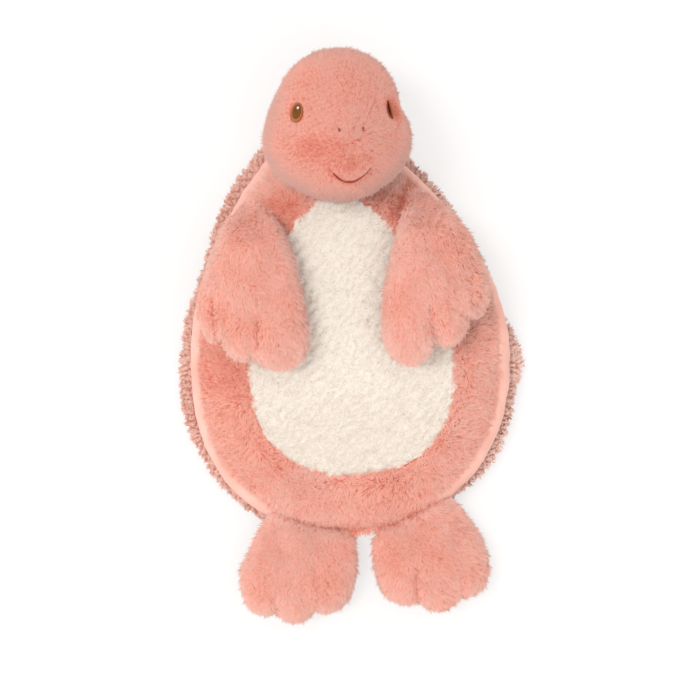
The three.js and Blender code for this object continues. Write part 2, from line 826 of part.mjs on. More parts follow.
// A hind leg is sewn into the side seam at the feet end and lies on the floor.
function makeHindleg(name, side) {
  const place = ([alongShare, acrossShare]) => new THREE.Vector3(
    hindlegSide + side * (hindlegApart + acrossShare * hindlegWidth),
    -bodyDown - alongShare * hindlegReach,
    0,
  );
  const edgeOf = (size, reach) => {
    const corners = bodyRing(insetOf(size, -hipGap - reach), 1, 0).map((p) => [p.x, p.y]);
    return prismOf(corners, 2 * (bodyCrown + overrun));
  };
  return makeLimb('hindleg_' + name, {
    place,
    outlineShares: hindlegShares,
    middleShare: hindlegMiddleShare,
    toeShares: hindlegToeShares,
    up: hindlegUp,
    down: hindlegDown,
    seamHeight: () => hindlegSeam,
    fullness: (x, y) => {
      const away = (eggShare(bodySize, x, y) - 1) * bodyDown - hindlegFlat;
      return hindlegRootShare + (1 - hindlegRootShare) * smoothShare(away, hindlegRoot);
    },
    sewnEdge: (reach) => edgeOf(bodySize, reach).add(edgeOf(shellSize, reach)),
  });
}

// The whole turtle

const turtle = new THREE.Group();
turtle.add(
  meshOf('shell_cover', makeShell(), materials.shell),
  meshOf('edge_band', makeBand(), materials.velour),
  meshOf('belly_border', makeBorder(), materials.coral),
  meshOf('tummy_panel', makeTummy(), materials.cream),
  meshOf('body_filling', makeBodyFilling(), materials.filling),
  makeCollar(),
  makeHead(),
  makeForeleg('left', 1),
  makeForeleg('right', -1),
  makeHindleg('left', 1),
  makeHindleg('right', -1),
);

export default turtle;
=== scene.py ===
import bpy
import numpy as np
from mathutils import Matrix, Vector


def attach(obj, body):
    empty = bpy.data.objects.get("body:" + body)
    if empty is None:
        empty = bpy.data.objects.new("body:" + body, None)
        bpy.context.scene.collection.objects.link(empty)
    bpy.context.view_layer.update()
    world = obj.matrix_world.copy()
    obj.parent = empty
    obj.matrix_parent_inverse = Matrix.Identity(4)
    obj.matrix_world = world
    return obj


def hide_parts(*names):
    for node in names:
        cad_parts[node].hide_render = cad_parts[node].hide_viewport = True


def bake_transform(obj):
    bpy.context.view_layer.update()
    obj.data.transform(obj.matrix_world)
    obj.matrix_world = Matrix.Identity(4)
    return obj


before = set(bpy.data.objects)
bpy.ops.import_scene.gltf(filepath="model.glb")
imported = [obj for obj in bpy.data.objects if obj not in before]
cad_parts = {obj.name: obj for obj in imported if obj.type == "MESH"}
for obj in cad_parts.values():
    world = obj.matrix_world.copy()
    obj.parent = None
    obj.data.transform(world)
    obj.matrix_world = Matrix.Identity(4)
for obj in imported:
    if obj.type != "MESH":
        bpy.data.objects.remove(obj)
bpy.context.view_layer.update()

MM = 0.001


# Camera and light
# The toy lies on its back on a white table and is seen from straight above, from about 1.9 m.
# A broad soft light stands at the upper left, and white walls fill the shadows.

PICTURE_PIXELS = 680
MM_PER_PIXEL = 0.74
AIM_HEIGHT = 15 * MM
CAMERA_HEIGHT = 1900 * MM
CAMERA_PLACE = (-7.17 * MM, 18.90 * MM, CAMERA_HEIGHT)
CAMERA_ROLL_DEGREES = -2.96
SENSOR_WIDTH = 36.0
LAMPS = {"key": {"energy": 1.1, "degrees": 24, "towards": (-0.7, 0.28, 1.0)},
         "fill": {"energy": 0.42, "degrees": 60, "towards": (0.3, -0.9, 1.0)}}
ROOM_STRENGTH = 0.94
FLOOR_HALF = 3.0
FLOOR_DROP = 0.3 * MM
FLOOR_WHITENING = 0.62


def srgb(hex_code):
    """Linear red, green, blue and alpha of an sRGB colour written as six hex digits."""
    c = np.array([int(hex_code[i:i + 2], 16) for i in (0, 2, 4)]) / 255
    linear = np.where(c <= 0.04045, c / 12.92, ((c + 0.055) / 1.055) ** 2.4)
    return (*(float(x) for x in linear), 1.0)


def add_node(tree, kind, settings=None, *in_order, **links):
    """A shader node of a kind. settings set its sockets, or its own values where it has no such
    socket. The outputs in_order join its first sockets, and those in links join the sockets that
    they are named for, with _ for a space."""
    node = tree.nodes.new(kind)
    for name, value in (settings or {}).items():
        if name in node.inputs:
            node.inputs[name].default_value = value
        else:
            setattr(node, name, value)
    for socket, output in zip(node.inputs, in_order):
        tree.links.new(output, socket)
    for name, output in links.items():
        tree.links.new(output, node.inputs[name.replace("_", " ")])
    return node


def new_material(name):
    """An empty material with its output node, as (material, node tree, output)."""
    material = bpy.data.materials.new(name)
    material.use_nodes = True
    tree = material.node_tree
    tree.nodes.clear()
    return material, tree, tree.nodes.new("ShaderNodeOutputMaterial")


def seen_directly(tree):
    """1 for rays from the camera, also where a shiny or a clear surface hands them on, else 0."""
    ray = add_node(tree, "ShaderNodeLightPath")
    level = ray.outputs["Is Camera Ray"]
    for kind in ("Is Glossy Ray", "Is Transmission Ray"):
        either = add_node(tree, "ShaderNodeMath", {"operation": "MAXIMUM"}, level,
                          ray.outputs[kind])
        level = either.outputs[0]
    return level


camera_data = bpy.data.cameras.new("camera")
camera_data.sensor_width = SENSOR_WIDTH
picture_width = PICTURE_PIXELS * MM_PER_PIXEL * MM
camera_data.lens = SENSOR_WIDTH * (CAMERA_HEIGHT - AIM_HEIGHT) / picture_width
camera = bpy.data.objects.new("camera", camera_data)
bpy.context.scene.collection.objects.link(camera)
camera.location = CAMERA_PLACE
camera.rotation_euler = (0, 0, np.radians(CAMERA_ROLL_DEGREES))
bpy.context.scene.camera = camera
bpy.context.scene.view_settings.view_transform = "Standard"

for name, light in LAMPS.items():
    lamp_data = bpy.data.lights.new(name, "SUN")
    lamp_data.energy = light["energy"]
    lamp_data.angle = np.radians(light["degrees"])
    lamp = bpy.data.objects.new(name, lamp_data)
    bpy.context.scene.collection.objects.link(lamp)
    lamp.rotation_euler = Vector(light["towards"]).to_track_quat("Z", "Y").to_euler()

# White walls: the camera sees plain white, and the toy gets their slightly warm light
world = bpy.data.worlds.new("white room")
bpy.context.scene.world = world
world.use_nodes = True
tree = world.node_tree
tree.nodes.clear()
room_light = add_node(tree, "ShaderNodeBackground",
                      {"Color": srgb("fffdfb"), "Strength": ROOM_STRENGTH})
room_seen = add_node(tree, "ShaderNodeBackground", {"Color": (1, 1, 1, 1), "Strength": 1.0})
room = add_node(tree, "ShaderNodeMixShader", None, seen_directly(tree), room_light.outputs[0],
                room_seen.outputs[0])
add_node(tree, "ShaderNodeOutputWorld", Surface=room.outputs[0])

# A matt painted table, which the camera sees mixed with plain white, so only a soft shadow shows
floor_mesh = bpy.data.meshes.new("floor")
corners = [(-FLOOR_HALF, -FLOOR_HALF, 0), (FLOOR_HALF, -FLOOR_HALF, 0)]
corners += [(FLOOR_HALF, FLOOR_HALF, 0), (-FLOOR_HALF, FLOOR_HALF, 0)]
floor_mesh.from_pydata(corners, [], [(0, 1, 2, 3)])
floor = bpy.data.objects.new("floor", floor_mesh)
floor.location.z = -FLOOR_DROP
bpy.context.scene.collection.objects.link(floor)
floor_paint, tree, out = new_material("matt white table")
lit = add_node(tree, "ShaderNodeBsdfDiffuse", {"Color": srgb("f4f2f0")})
seen = add_node(tree, "ShaderNodeEmission", {"Color": (1, 1, 1, 1), "Strength": 1.0})
whiten = add_node(tree, "ShaderNodeMath", {"operation": "MULTIPLY"}, seen_directly(tree))
whiten.inputs[1].default_value = FLOOR_WHITENING
mixed = add_node(tree, "ShaderNodeMixShader", None, whiten.outputs[0], lit.outputs[0],
                 seen.outputs[0])
tree.links.new(mixed.outputs[0], out.inputs["Surface"])
floor_mesh.materials.append(floor_paint)


# Belly border
# A ring of coral plush round the tummy, cut from knitted polyester with a short dense pile.
# It is sewn to the tummy inside and to the edge band outside, over a thin bed of filling.

BODY = {"half_width": 118.5, "up": 180.0, "down": 122.0}
TUMMY = {"half_width": 76.0, "up": 125.0, "down": 80.5}
BODY_LEAN = 12.0
TAPER_SHARE = 0.334
TAPER_POWER = 2.2
BLUNTING = 2.4
DOME_POWER = 3
CROWN_HEIGHT = 36.0
RIM_HEIGHT = 12.0
BAND_WIDTH = 9.0
BAND_COVERED = 1.0
TUMMY_LAP = 0.3
HEAD_MIDDLE = np.array([-1.6, 174.2, 48.0])
HEAD_HOLLOW = 57.5
HEAD_HIDES = 40.0
LOWEST_CLOTH = 7.0
TABLE_CLEARANCE = 0.2
PILE_DEPTH = 3.0
SLACK = 2.0
FLAT_HEIGHT = 8.0
BELLY_SWELL = 4.0
SIM_ROWS, SIM_COLUMNS = 10, 80
BORDER_ROWS, BORDER_COLUMNS = 26, 260
BORDER_STRANDS = 72000
BORDER_PILE = {"width": 0.73, "lift": (0.6, 0.3), "clump_size": 3.2}
BAND_JOIN_RISE = 3.0
FOLD_DEPTH, FOLD_WIDTH = 3.5, 4.5
# Lines across the border: a fold at the root of one foreleg, and the seams of the feet
SHOULDER_FOLD = np.array([[40.0, 112.0], [50.0, 132.0]])
HINDLEG_SEAM_LINE = {
    "left": np.array([[12.0, -121.0], [24.0, -117.0], [44.4, -107.2], [60.4, -100.0]]),
    "right": np.array([[-1.0, -122.5], [-15.0, -119.0], [-33.5, -113.6], [-62.6, -102.4]])}
# How far the side of the body is drawn in, at directions round it in degrees from +X
SIDE_DRAWN_IN = np.array([[-90, 0], [-66, 2], [-52, 5.5], [-40, 6], [-26, 4.5], [-12, 2], [5, 0],
                          [270, 0]])


def inset_of(size, inset):
    """The sizes of an egg outline that lies inset inside another."""
    return {name: value - inset for name, value in size.items()}


def lean_at(y):
    """Sideways shift of the body, which grows with the square of the way to the head end."""
    return np.where(y > 0, -BODY_LEAN * (y / BODY["up"]) ** 2, 0.0)


def egg(size, angle, share=1.0):
    """x and y of an egg outline at an angle, scaled by share: an ellipse that narrows by a power
    of its height at the head end, and a blunt superellipse at the feet end."""
    across, along = np.cos(angle), np.sin(angle)
    power = 2 / BLUNTING
    upper = np.maximum(along, 0)
    x_up = across * (1 - TAPER_SHARE * upper ** TAPER_POWER)
    x_down = np.sign(across) * np.abs(across) ** power
    x = np.where(along < 0, x_down, x_up) * size["half_width"] * share
    y = np.where(along < 0, -size["down"] * np.abs(along) ** power, size["up"] * along) * share
    return x + lean_at(y), y


def egg_share(size, x, y):
    """The share by which the egg is scaled when its edge passes through x, y, by bisection."""
    across = np.abs(x - lean_at(y))
    below = ((across / size["half_width"]) ** BLUNTING
             + (np.maximum(-y, 0) / size["down"]) ** BLUNTING) ** (1 / BLUNTING)
    low = np.maximum(y, 0) / size["up"] + 1e-6
    high = low + across / size["half_width"] + 1
    for _ in range(30):
        share = (low + high) / 2
        along = np.clip(y / share / size["up"], 0, 1)
        taper = 1 - TAPER_SHARE * along ** TAPER_POWER
        short = share * size["half_width"] * np.sqrt(1 - along ** 2) * taper < across
        low, high = np.where(short, share, low), np.where(short, high, share)
    return np.where(y > 0, high, below)


def dome(x, y, inset=0.0, size=BODY):
    """Height of the body over the floor: a blunt dome that falls from its crown to the side seam,
    or the dome that lies inset below it."""
    share = np.minimum(egg_share(inset_of(size, inset), x, y), 1)
    rise = CROWN_HEIGHT - inset - RIM_HEIGHT
    return RIM_HEIGHT + rise * np.sqrt(1 - share ** DOME_POWER)


def waves(points, size, seed):
    """Three smooth random values for each point: sums of sines with random directions and phases,
    whose wavelengths lie round size."""
    rng = np.random.default_rng(seed)
    count = 14
    turns = rng.normal(size=(count, 3))
    lengths = size * rng.uniform(0.7, 1.5, (count, 1))
    turns *= 2 * np.pi / (lengths * np.linalg.norm(turns, axis=1)[:, None])
    phases = rng.uniform(0, 2 * np.pi, (3, count))
    flat = points @ turns.T
    sums = [np.sin(flat + phase).sum(axis=1) for phase in phases]
    return np.stack(sums, axis=1) / np.sqrt(count / 2)


def smooth_share(value, low, high):
    """0 below low, 1 above high, and a smooth step between."""
    share = np.clip((value - low) / (high - low), 0, 1)
    return share * share * (3 - 2 * share)


def unit(vectors):
    """Each row made one long."""
    return vectors / np.maximum(np.linalg.norm(vectors, axis=-1, keepdims=True), 1e-9)


def around(columns):
    """Angles evenly round a full turn, as a row, to cross with a column of shares."""
    return np.linspace(0, 2 * np.pi, columns, endpoint=False)[None, :]


def grid_faces(rows, columns, turned=False):
    """Four-sided faces of a grid of points in rows, each row closed on itself. They face the side
    from which the columns run anticlockwise round an inner first row, or the other side if
    turned."""
    r = np.arange(rows - 1)[:, None]
    c = np.arange(columns)[None, :]
    d = (c + 1) % columns
    quads = [r * columns + c, (r + 1) * columns + c, (r + 1) * columns + d, r * columns + d]
    quads = np.stack(quads, axis=-1).reshape(-1, 4)
    return quads[:, ::-1] if turned else quads


def as_triangles(faces):
    """Four-sided faces each cut in two."""
    return np.concatenate([faces[:, [0, 1, 2]], faces[:, [0, 2, 3]]])


def capped_faces(rows, columns, turned=False):
    """Faces of a grid of closed rows, with a fan at each end round two more points."""
    c = np.arange(columns)
    d = (c + 1) % columns
    first, last = rows * columns, rows * columns + 1
    start = np.stack([first + 0 * c, c, d], axis=-1)
    end = np.stack([last + 0 * c, (rows - 1) * columns + d, (rows - 1) * columns + c], axis=-1)
    tris = np.concatenate([as_triangles(grid_faces(rows, columns)), start, end])
    return tris[:, ::-1] if turned else tris


def capped(rings, columns):
    """Points in closed rows, and the two middles of the end rows that capped_faces needs."""
    ends = np.stack([rings[:columns].mean(axis=0), rings[-columns:].mean(axis=0)])
    return np.concatenate([rings, ends])


def closed_middle(points, faces, columns, turned=False):
    """A surface of closed rows as points and triangles, with the hole inside its first row closed
    by a fan round the middle of that row."""
    c = np.arange(columns)
    fan = np.stack([0 * c + len(points), c, (c + 1) % columns], axis=1)
    tris = np.concatenate([as_triangles(faces), fan[:, ::-1] if turned else fan])
    return np.concatenate([points, points[:columns].mean(axis=0)[None]]), tris


def normals_of(points, faces):
    """Each point's normal: the sum of the area vectors of the faces round it, made one long."""
    a, b, c, d = (points[faces[:, k]] for k in (0, 1, 2, -1))
    area = np.cross(c - a, d - b) if faces.shape[1] == 4 else np.cross(b - a, c - a)
    total = np.zeros_like(points)
    for k in range(faces.shape[1]):
        np.add.at(total, faces[:, k], area)
    return unit(total)


def scatter(points, faces, count, rng):
    """count random places spread evenly over a surface of four-sided faces or of triangles, and
    the normals there."""
    if faces.shape[1] == 3:
        faces = faces[:, [0, 1, 2, 2]]
    tris = as_triangles(faces)
    a, b, c = (points[tris[:, k]] for k in range(3))
    area = np.linalg.norm(np.cross(b - a, c - a), axis=1)
    pick = rng.choice(len(tris), count, p=area / area.sum())
    u, v = rng.random((2, count, 1))
    flip = u + v > 1
    u, v = np.where(flip, 1 - u, u), np.where(flip, 1 - v, v)
    normals = normals_of(points, faces)
    weights = (1 - u - v, u, v)
    place = sum(w * points[tris[pick, k]] for k, w in enumerate(weights))
    facing = unit(sum(w * normals[tris[pick, k]] for k, w in enumerate(weights)))
    return place, facing


def pile(roots, facing, nap, length, rng, width, lift=(0.75, 0.35), spread=0.3, clump=0.45,
         clump_size=5.0, stray=0.14, skylit=0.45, painted_shading_and_wear=None):
    """Strands of pile as (points, faces, height along the strand, tone, normals, and a level of
    painted shading and wear). Each is a flat tapered blade of three faces that stands up from its
    root and bends over along the nap.
    lift is the rise of its lower and its upper half as a share of its length, and a share of
    them, stray, stands up more. A smooth random field turns, shortens and tones neighbouring
    strands alike, so that they lie in locks. Each blade's front is the side that shows from
    above, or on an underside the side that shows from outside. It is shaded by the cloth's
    normal, turned to the sky by the share skylit, because real pile scatters the light that
    falls into it. Blades are about 20 times as wide as real fibres, so each stands for a lock."""
    count = len(roots)
    along = nap - (nap * facing).sum(1, keepdims=True) * facing
    along /= np.maximum(np.linalg.norm(along, axis=1, keepdims=True), 1)
    field = waves(roots, clump_size, 7)
    tangent = field - (field * facing).sum(1, keepdims=True) * facing
    tangent /= 1 + 0.4 * np.linalg.norm(tangent, axis=1, keepdims=True)
    strays = rng.normal(size=(count, 3))
    strays -= (strays * facing).sum(1, keepdims=True) * facing
    along = unit(along + spread * strays + clump * tangent)
    size = (length * rng.uniform(0.75, 1.15, count) * (1 + 0.12 * field[:, 0]))[:, None]
    upright = 0.45 * (rng.random((count, 1)) < stray)
    rises = [np.clip(share + upright + 0.12 * rng.normal(size=(count, 1)), 0.05, 0.98)
             for share in lift]
    lower, upper = (rise * facing + np.sqrt(1 - rise ** 2) * along for rise in rises)
    middle = roots + 0.5 * size * lower
    tip = middle + 0.5 * size * upper
    skyward = [0, 0, 1] * smooth_share(facing[:, 2:], -0.7, 0.1)
    shown = facing + 2 * skyward
    rising = unit(lower + upper)
    broad = unit(np.cross(shown, rising))
    turn = rng.uniform(-0.3, 0.3, (count, 1))
    flat = np.cos(turn) * broad + np.sin(turn) * np.cross(rising, broad)
    half = 0.5 * (width * rng.uniform(0.7, 1.3, count))[:, None] * flat
    points = np.stack([roots - half, roots + half, middle - 0.85 * half, middle + 0.85 * half, tip],
                      axis=1)
    base = 5 * np.arange(count)[:, None]
    faces = []
    for tri, part in (([0, 3, 1], lower), ([0, 2, 3], lower), ([2, 4, 3], upper)):
        hidden = ((np.cross(part, half) * shown).sum(axis=1) < 0)[:, None]
        faces.append(np.where(hidden, base + tri[::-1], base + tri))
    height = np.tile([0.0, 0.0, 0.5, 0.5, 1.0], count)
    tone = np.clip(0.5 + 0.16 * field[:, 1] + rng.uniform(-0.2, 0.2, count), 0, 1)
    lit = unit(facing + skylit * skyward)
    soft = unit(lit + 0.15 * rng.normal(size=(count, 3)) + 0.12 * tangent)
    bent = unit(soft + 0.2 * along)
    normals = np.stack([lit, lit, soft, soft, bent], axis=1)
    painted_shading_and_wear = np.zeros(count) if painted_shading_and_wear is None else painted_shading_and_wear
    return (points.reshape(-1, 3), np.concatenate(faces), height, np.repeat(tone, 5),
            normals.reshape(-1, 3), np.repeat(painted_shading_and_wear, 5))


def puffed(cover_grid, held, cap):
    """How a cloth simulation moves a closed cover, given as closed rows that are capped at both
    ends: air pressure swells it for 20 frames. The held points stay, of which the two caps come
    last, and no other moves further than cap."""
    rows, columns = cover_grid.shape[:2]
    points = capped(cover_grid.reshape(-1, 3), columns)
    mesh = bpy.data.meshes.new("cover")
    mesh.from_pydata((points * MM).tolist(), [], capped_faces(rows, columns).tolist())
    cover = bpy.data.objects.new("cover", mesh)
    bpy.context.scene.collection.objects.link(cover)
    seam = cover.vertex_groups.new(name="sewn")
    seam.add(np.flatnonzero(held).tolist(), 1.0, "REPLACE")
    cloth = cover.modifiers.new("cloth", "CLOTH").settings
    cloth.quality = 5
    cloth.vertex_group_mass = "sewn"
    cloth.use_pressure = True
    cloth.uniform_pressure_force = 4.0
    cloth.effector_weights.gravity = 0.0
    cloth.tension_stiffness = cloth.compression_stiffness = 12.0
    cloth.bending_stiffness = 0.4
    for frame_number in range(1, 21):
        bpy.context.scene.frame_set(frame_number)
    settled = cover.evaluated_get(bpy.context.evaluated_depsgraph_get())
    after = np.empty(3 * len(points), np.float32)
    settled.data.vertices.foreach_get("co", after)
    bpy.context.scene.frame_set(1)
    bpy.data.objects.remove(cover)
    bpy.data.meshes.remove(mesh)
    move = after.reshape(-1, 3) / MM - points
    far = np.linalg.norm(move, axis=1, keepdims=True)
    move *= np.minimum(1, cap / np.maximum(far, 1e-9))
    return move[:-2].reshape(cover_grid.shape)


def finer(grid, rows, columns):
    """A coarse grid of closed rows read at more places, along straight lines between its points."""
    r = np.linspace(0, len(grid) - 1, rows)
    c = np.arange(columns) * grid.shape[1] / columns
    r0, c0 = np.minimum(r.astype(int), len(grid) - 2), c.astype(int)
    c1 = (c0 + 1) % grid.shape[1]
    t, u = (r - r0)[:, None, None], (c - c0)[None, :, None]
    upper = grid[r0][:, c0] * (1 - u) + grid[r0][:, c1] * u
    lower = grid[r0 + 1][:, c0] * (1 - u) + grid[r0 + 1][:, c1] * u
    return upper * (1 - t) + lower * t


def skin(points, faces):
    """A piece of cloth or thread without pile, in the form that pile gives its strands."""
    count = len(points)
    plain = np.zeros(count)
    return points, faces, plain, np.full(count, 0.5), normals_of(points, faces), plain


def make_piece(name, part, material, body, nodes):
    """One mesh object from the points of a skin or of pile in millimetres, in place of its CAD
    nodes. It rides on a body; where body gives two bodies and the places where a bend between
    them starts and ends, it stays where it is and rides on neither. Whatever would reach below
    the table is pressed flat on it."""
    points, faces, height, tone, normals, painted_shading_and_wear = part
    sides = faces.shape[1]
    places = np.array(points)
    places[:, 2] = np.maximum(places[:, 2], TABLE_CLEARANCE)
    mesh = bpy.data.meshes.new(name)
    mesh.vertices.add(len(places))
    mesh.vertices.foreach_set("co", (places * MM).astype(np.float32).ravel())
    mesh.loops.add(faces.size)
    mesh.loops.foreach_set("vertex_index", faces.ravel().astype(np.int32))
    mesh.polygons.add(len(faces))
    mesh.polygons.foreach_set("loop_start", np.arange(0, faces.size, sides, dtype=np.int32))
    mesh.polygons.foreach_set("loop_total", np.full(len(faces), sides, np.int32))
    mesh.update(calc_edges=True)
    mesh.shade_smooth()
    # The third attribute is a level of painted shading and wear: it moves the colour along the ramp
    for attribute, values in (("pile", height), ("tone", tone), ("shading_and_wear", painted_shading_and_wear)):
        layer = mesh.attributes.new(attribute, "FLOAT", "POINT")
        layer.data.foreach_set("value", values.astype(np.float32))
    mesh.normals_split_custom_set_from_vertices(normals)
    mesh.materials.append(material)
    piece = bpy.data.objects.new(name, mesh)
    bpy.context.scene.collection.objects.link(piece)
    if isinstance(body, str):
        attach(piece, body)
    else:
        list(body)
        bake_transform(piece)
    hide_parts(*nodes)
    return piece


def make_plush(name, cloth, strands, material, body, nodes, sheer=False):
    """Padded plush: its cloth, and its pile as a piece of its own. Fibres this fine let the light
    through, so the pile casts no shadow and the cloth under it does. Sheer pile doesn't hold back
    the light that comes from all round either."""
    backing = make_piece(name + "_cloth", cloth, material, body, nodes)
    fur = make_piece(name + "_pile", strands, material, body, [])
    fur.visible_shadow = False
    fur.visible_diffuse = not sheer


def plush(name, root, middle, tip, sheen=0.12, patch_mm=38.0, patch_share=0.22):
    """Knitted plush: a matt dyed pile, painted deeper at the root as the shade down in the pile,
    and paler at the tip, partly from dust and wear and partly as painted sheen. Noise patches are
    painted deeper, as the shade seen into pile stroked against the nap. The level of painted
    shading and wear moves each place along the ramp too."""
    material, tree, out = new_material(name)
    height, tone, shading_and_wear = (add_node(tree, "ShaderNodeAttribute", {"attribute_name": attribute})
                          for attribute in ("pile", "tone", "shading_and_wear"))
    where = add_node(tree, "ShaderNodeTexCoord")
    patches = add_node(tree, "ShaderNodeTexNoise", {"Scale": 1 / (patch_mm * MM), "Detail": 2.0},
                       Vector=where.outputs["Object"])
    # Painted shade: patches of stroked pile are moved towards the deep root colour
    stroked_shade = add_node(tree, "ShaderNodeMapRange", {"From Min": 0.4, "From Max": 0.65,
                      "To Min": 0.0, "To Max": patch_share}, Value=patches.outputs["Fac"])
    strand = add_node(tree, "ShaderNodeMapRange", {"From Min": 0.0, "From Max": 1.0,
                      "To Min": -0.3, "To Max": 0.3}, Value=tone.outputs["Fac"])
    level = height.outputs["Fac"]
    for operation, other in (("SUBTRACT", stroked_shade.outputs[0]), ("ADD", strand.outputs[0]),
                             ("ADD", shading_and_wear.outputs["Fac"])):
        step = add_node(tree, "ShaderNodeMath", {"operation": operation}, level, other)
        level = step.outputs[0]
    ramp = add_node(tree, "ShaderNodeValToRGB", Fac=level)
    ramp.color_ramp.elements[0].color = srgb(root)
    ramp.color_ramp.elements[1].color = srgb(tip)
    ramp.color_ramp.elements.new(0.45).color = srgb(middle)
    cloth = add_node(tree, "ShaderNodeBsdfPrincipled", {"Roughness": 0.9, "Sheen Weight": sheen,
                     "Sheen Roughness": 0.5, "Specular IOR Level": 0.15},
                     Base_Color=ramp.outputs["Color"])
    tree.links.new(cloth.outputs[0], out.inputs["Surface"])
    return material


def band_hidden(angle):
    """1 at the feet end, where the border hangs over the band and the feet are sewn on, else 0."""
    x, y = egg(BODY, angle)
    return np.where(y < 0, 1 - smooth_share(np.abs(x + 1.5), 54, 66), 0)


def to_lines(places, lines):
    """Distance in plan from each place to the nearest of some lines of straight pieces."""
    away = []
    for line in lines:
        for start, end in zip(line[:-1], line[1:]):
            along = end - start
            share = np.clip(((places[:, :2] - start) @ along) / (along @ along), 0, 1)
            away.append(np.linalg.norm(places[:, :2] - start - share[:, None] * along, axis=1))
    return np.min(away, axis=0)


def close_to(distance, width):
    """1 at no distance, falling to 0 over the width as a bell curve."""
    return np.exp(-(distance / width) ** 2)


def drawn_in(x, y, share):
    """Places moved towards the middle of the body by a share of how far its side is drawn in."""
    pull = np.interp(np.degrees(np.arctan2(y, x)), *SIDE_DRAWN_IN.T, period=360)
    kept = 1 - share * pull / np.maximum(np.hypot(x, y), 1)
    return x * kept, y * kept


def border_surface(share, angle, inset):
    """From the tummy's outline at share 0 to the band's at share 1, lying inset below the dome."""
    x0, y0 = egg(inset_of(TUMMY, -TUMMY_LAP), angle)
    band = BAND_WIDTH - (BAND_WIDTH + BAND_COVERED) * band_hidden(angle)
    x1, y1 = egg(inset_of(BODY, band), angle)
    x, y = x0 + (x1 - x0) * share, y0 + (y1 - y0) * share
    return np.stack([*drawn_in(x, y, share), dome(x, y, inset)], axis=-1)


def tummy_surface(share, angle, inset):
    """From the middle of the belly at share 0 to the tummy's outline at share 1."""
    x, y = egg(TUMMY, angle, share)
    return np.stack([x, y, dome(x, y, inset)], axis=-1)


def under_head(points, lowest):
    """The cloth pressed down under the head: no point lies in the ball round the head's middle,
    down to the lowest height."""
    x, y, z = points.T
    away = np.hypot(x - HEAD_MIDDLE[0], y - HEAD_MIDDLE[1])
    ball = HEAD_MIDDLE[2] - np.sqrt(np.maximum(HEAD_HOLLOW ** 2 - away ** 2, 0))
    pressed = np.minimum(z, np.maximum(ball, lowest))
    return np.stack([x, y, np.where(away < HEAD_HOLLOW, pressed, z)], axis=1)


def clear_of_head(roots, facing):
    """Only the roots, and the normals there, that the head doesn't hide for good."""
    away = np.hypot(roots[:, 0] - HEAD_MIDDLE[0], roots[:, 1] - HEAD_MIDDLE[1])
    return roots[away > HEAD_HIDES], facing[away > HEAD_HIDES]


# Matt coral polyester, dyed through, with its root painted deeper as shade in the pile
coral_plush = plush("coral knitted plush", "e37e69", "f1ab98", "efc4b7")

# The belly's covers swell together, sewn at the tummy's edge, the band and the back
angles = around(SIM_COLUMNS)
shares = np.linspace(0.02, 1, SIM_ROWS)[:, None]
belly = np.concatenate([tummy_surface(shares, angles, PILE_DEPTH + SLACK),
                        border_surface(shares, angles, PILE_DEPTH + SLACK)])
belly = np.concatenate([belly, belly[::-1] * [1, 1, 0] + [0, 0, FLAT_HEIGHT]])
sewn = np.zeros(belly.shape[:2], bool)
sewn[[SIM_ROWS - 1, SIM_ROWS, 2 * SIM_ROWS - 1]] = True
sewn[2 * SIM_ROWS:] = True
rise = puffed(belly, np.concatenate([sewn.ravel(), [False, True]]), BELLY_SWELL)
tummy_rise, border_rise = rise[:SIM_ROWS], rise[SIM_ROWS:2 * SIM_ROWS]

rng = np.random.default_rng(11)
shares = np.linspace(0, 1, BORDER_ROWS)[:, None]
cloth = border_surface(shares, around(BORDER_COLUMNS), PILE_DEPTH + SLACK)
cloth += finer(border_rise, BORDER_ROWS, BORDER_COLUMNS)
cloth = cloth.reshape(-1, 3)
cloth += 0.5 * waves(cloth, 45, 3)[:, :1] * [0, 0, 1]
by_band = smooth_share(egg_share(BODY, cloth[:, 0], cloth[:, 1]), 0.8, 0.93)
cloth[:, 2] += BAND_JOIN_RISE * by_band * smooth_share(cloth[:, 1], 60, 110)
cloth[:, 2] -= FOLD_DEPTH * close_to(to_lines(cloth, [SHOULDER_FOLD]), FOLD_WIDTH)
cloth = under_head(cloth, LOWEST_CLOTH)
faces = grid_faces(BORDER_ROWS, BORDER_COLUMNS)
roots, facing = clear_of_head(*scatter(cloth, faces, BORDER_STRANDS, rng))

# The pile lies inwards beside the tummy, outwards beside the band, and away from the head
outward = unit(roots - [0, 20, 0]) * [1, 1, 0]
beyond = smooth_share(egg_share(TUMMY, roots[:, 0], roots[:, 1]), 1.0, 1.2)[:, None]
nap = (1.7 * beyond - 0.7) * outward + [0, -0.25, 0] + 0.45 * waves(roots, 60, 5)
from_head = roots - HEAD_MIDDLE
near_head = 1 - smooth_share(np.linalg.norm(from_head, axis=1) - HEAD_HOLLOW, 0, 14)[:, None]
nap -= 1.6 * near_head * unit(from_head)
lengths = 4.0 + 3.0 * smooth_share(beyond[:, 0], 0, 0.8)

# The pile is painted paler along the band, most towards the head end, a little paler towards +x
# and deeper towards -x. It is painted darker as shade in the crease of the feet's seams and in
# the fold at one shoulder, and as the shade of stroked pile in a patch nearer the other shoulder.
by_band = smooth_share(egg_share(BODY, roots[:, 0], roots[:, 1]), 0.78, 0.93)
painted_shading_and_wear = 0.1 * smooth_share(roots[:, 0], 40, 100) - 0.15 * smooth_share(-roots[:, 0], 50, 90)
painted_shading_and_wear += 0.3 * by_band * smooth_share(roots[:, 1], 80, 125) + 0.05 * by_band
painted_shading_and_wear -= 0.5 * close_to(to_lines(roots, HINDLEG_SEAM_LINE.values()), 1.6)
painted_shading_and_wear -= 0.5 * close_to(to_lines(roots, [SHOULDER_FOLD]), 5)
painted_shading_and_wear -= 0.35 * np.exp(-((roots[:, 0] + 48) / 15) ** 2 - ((roots[:, 1] - 119) / 11) ** 2)
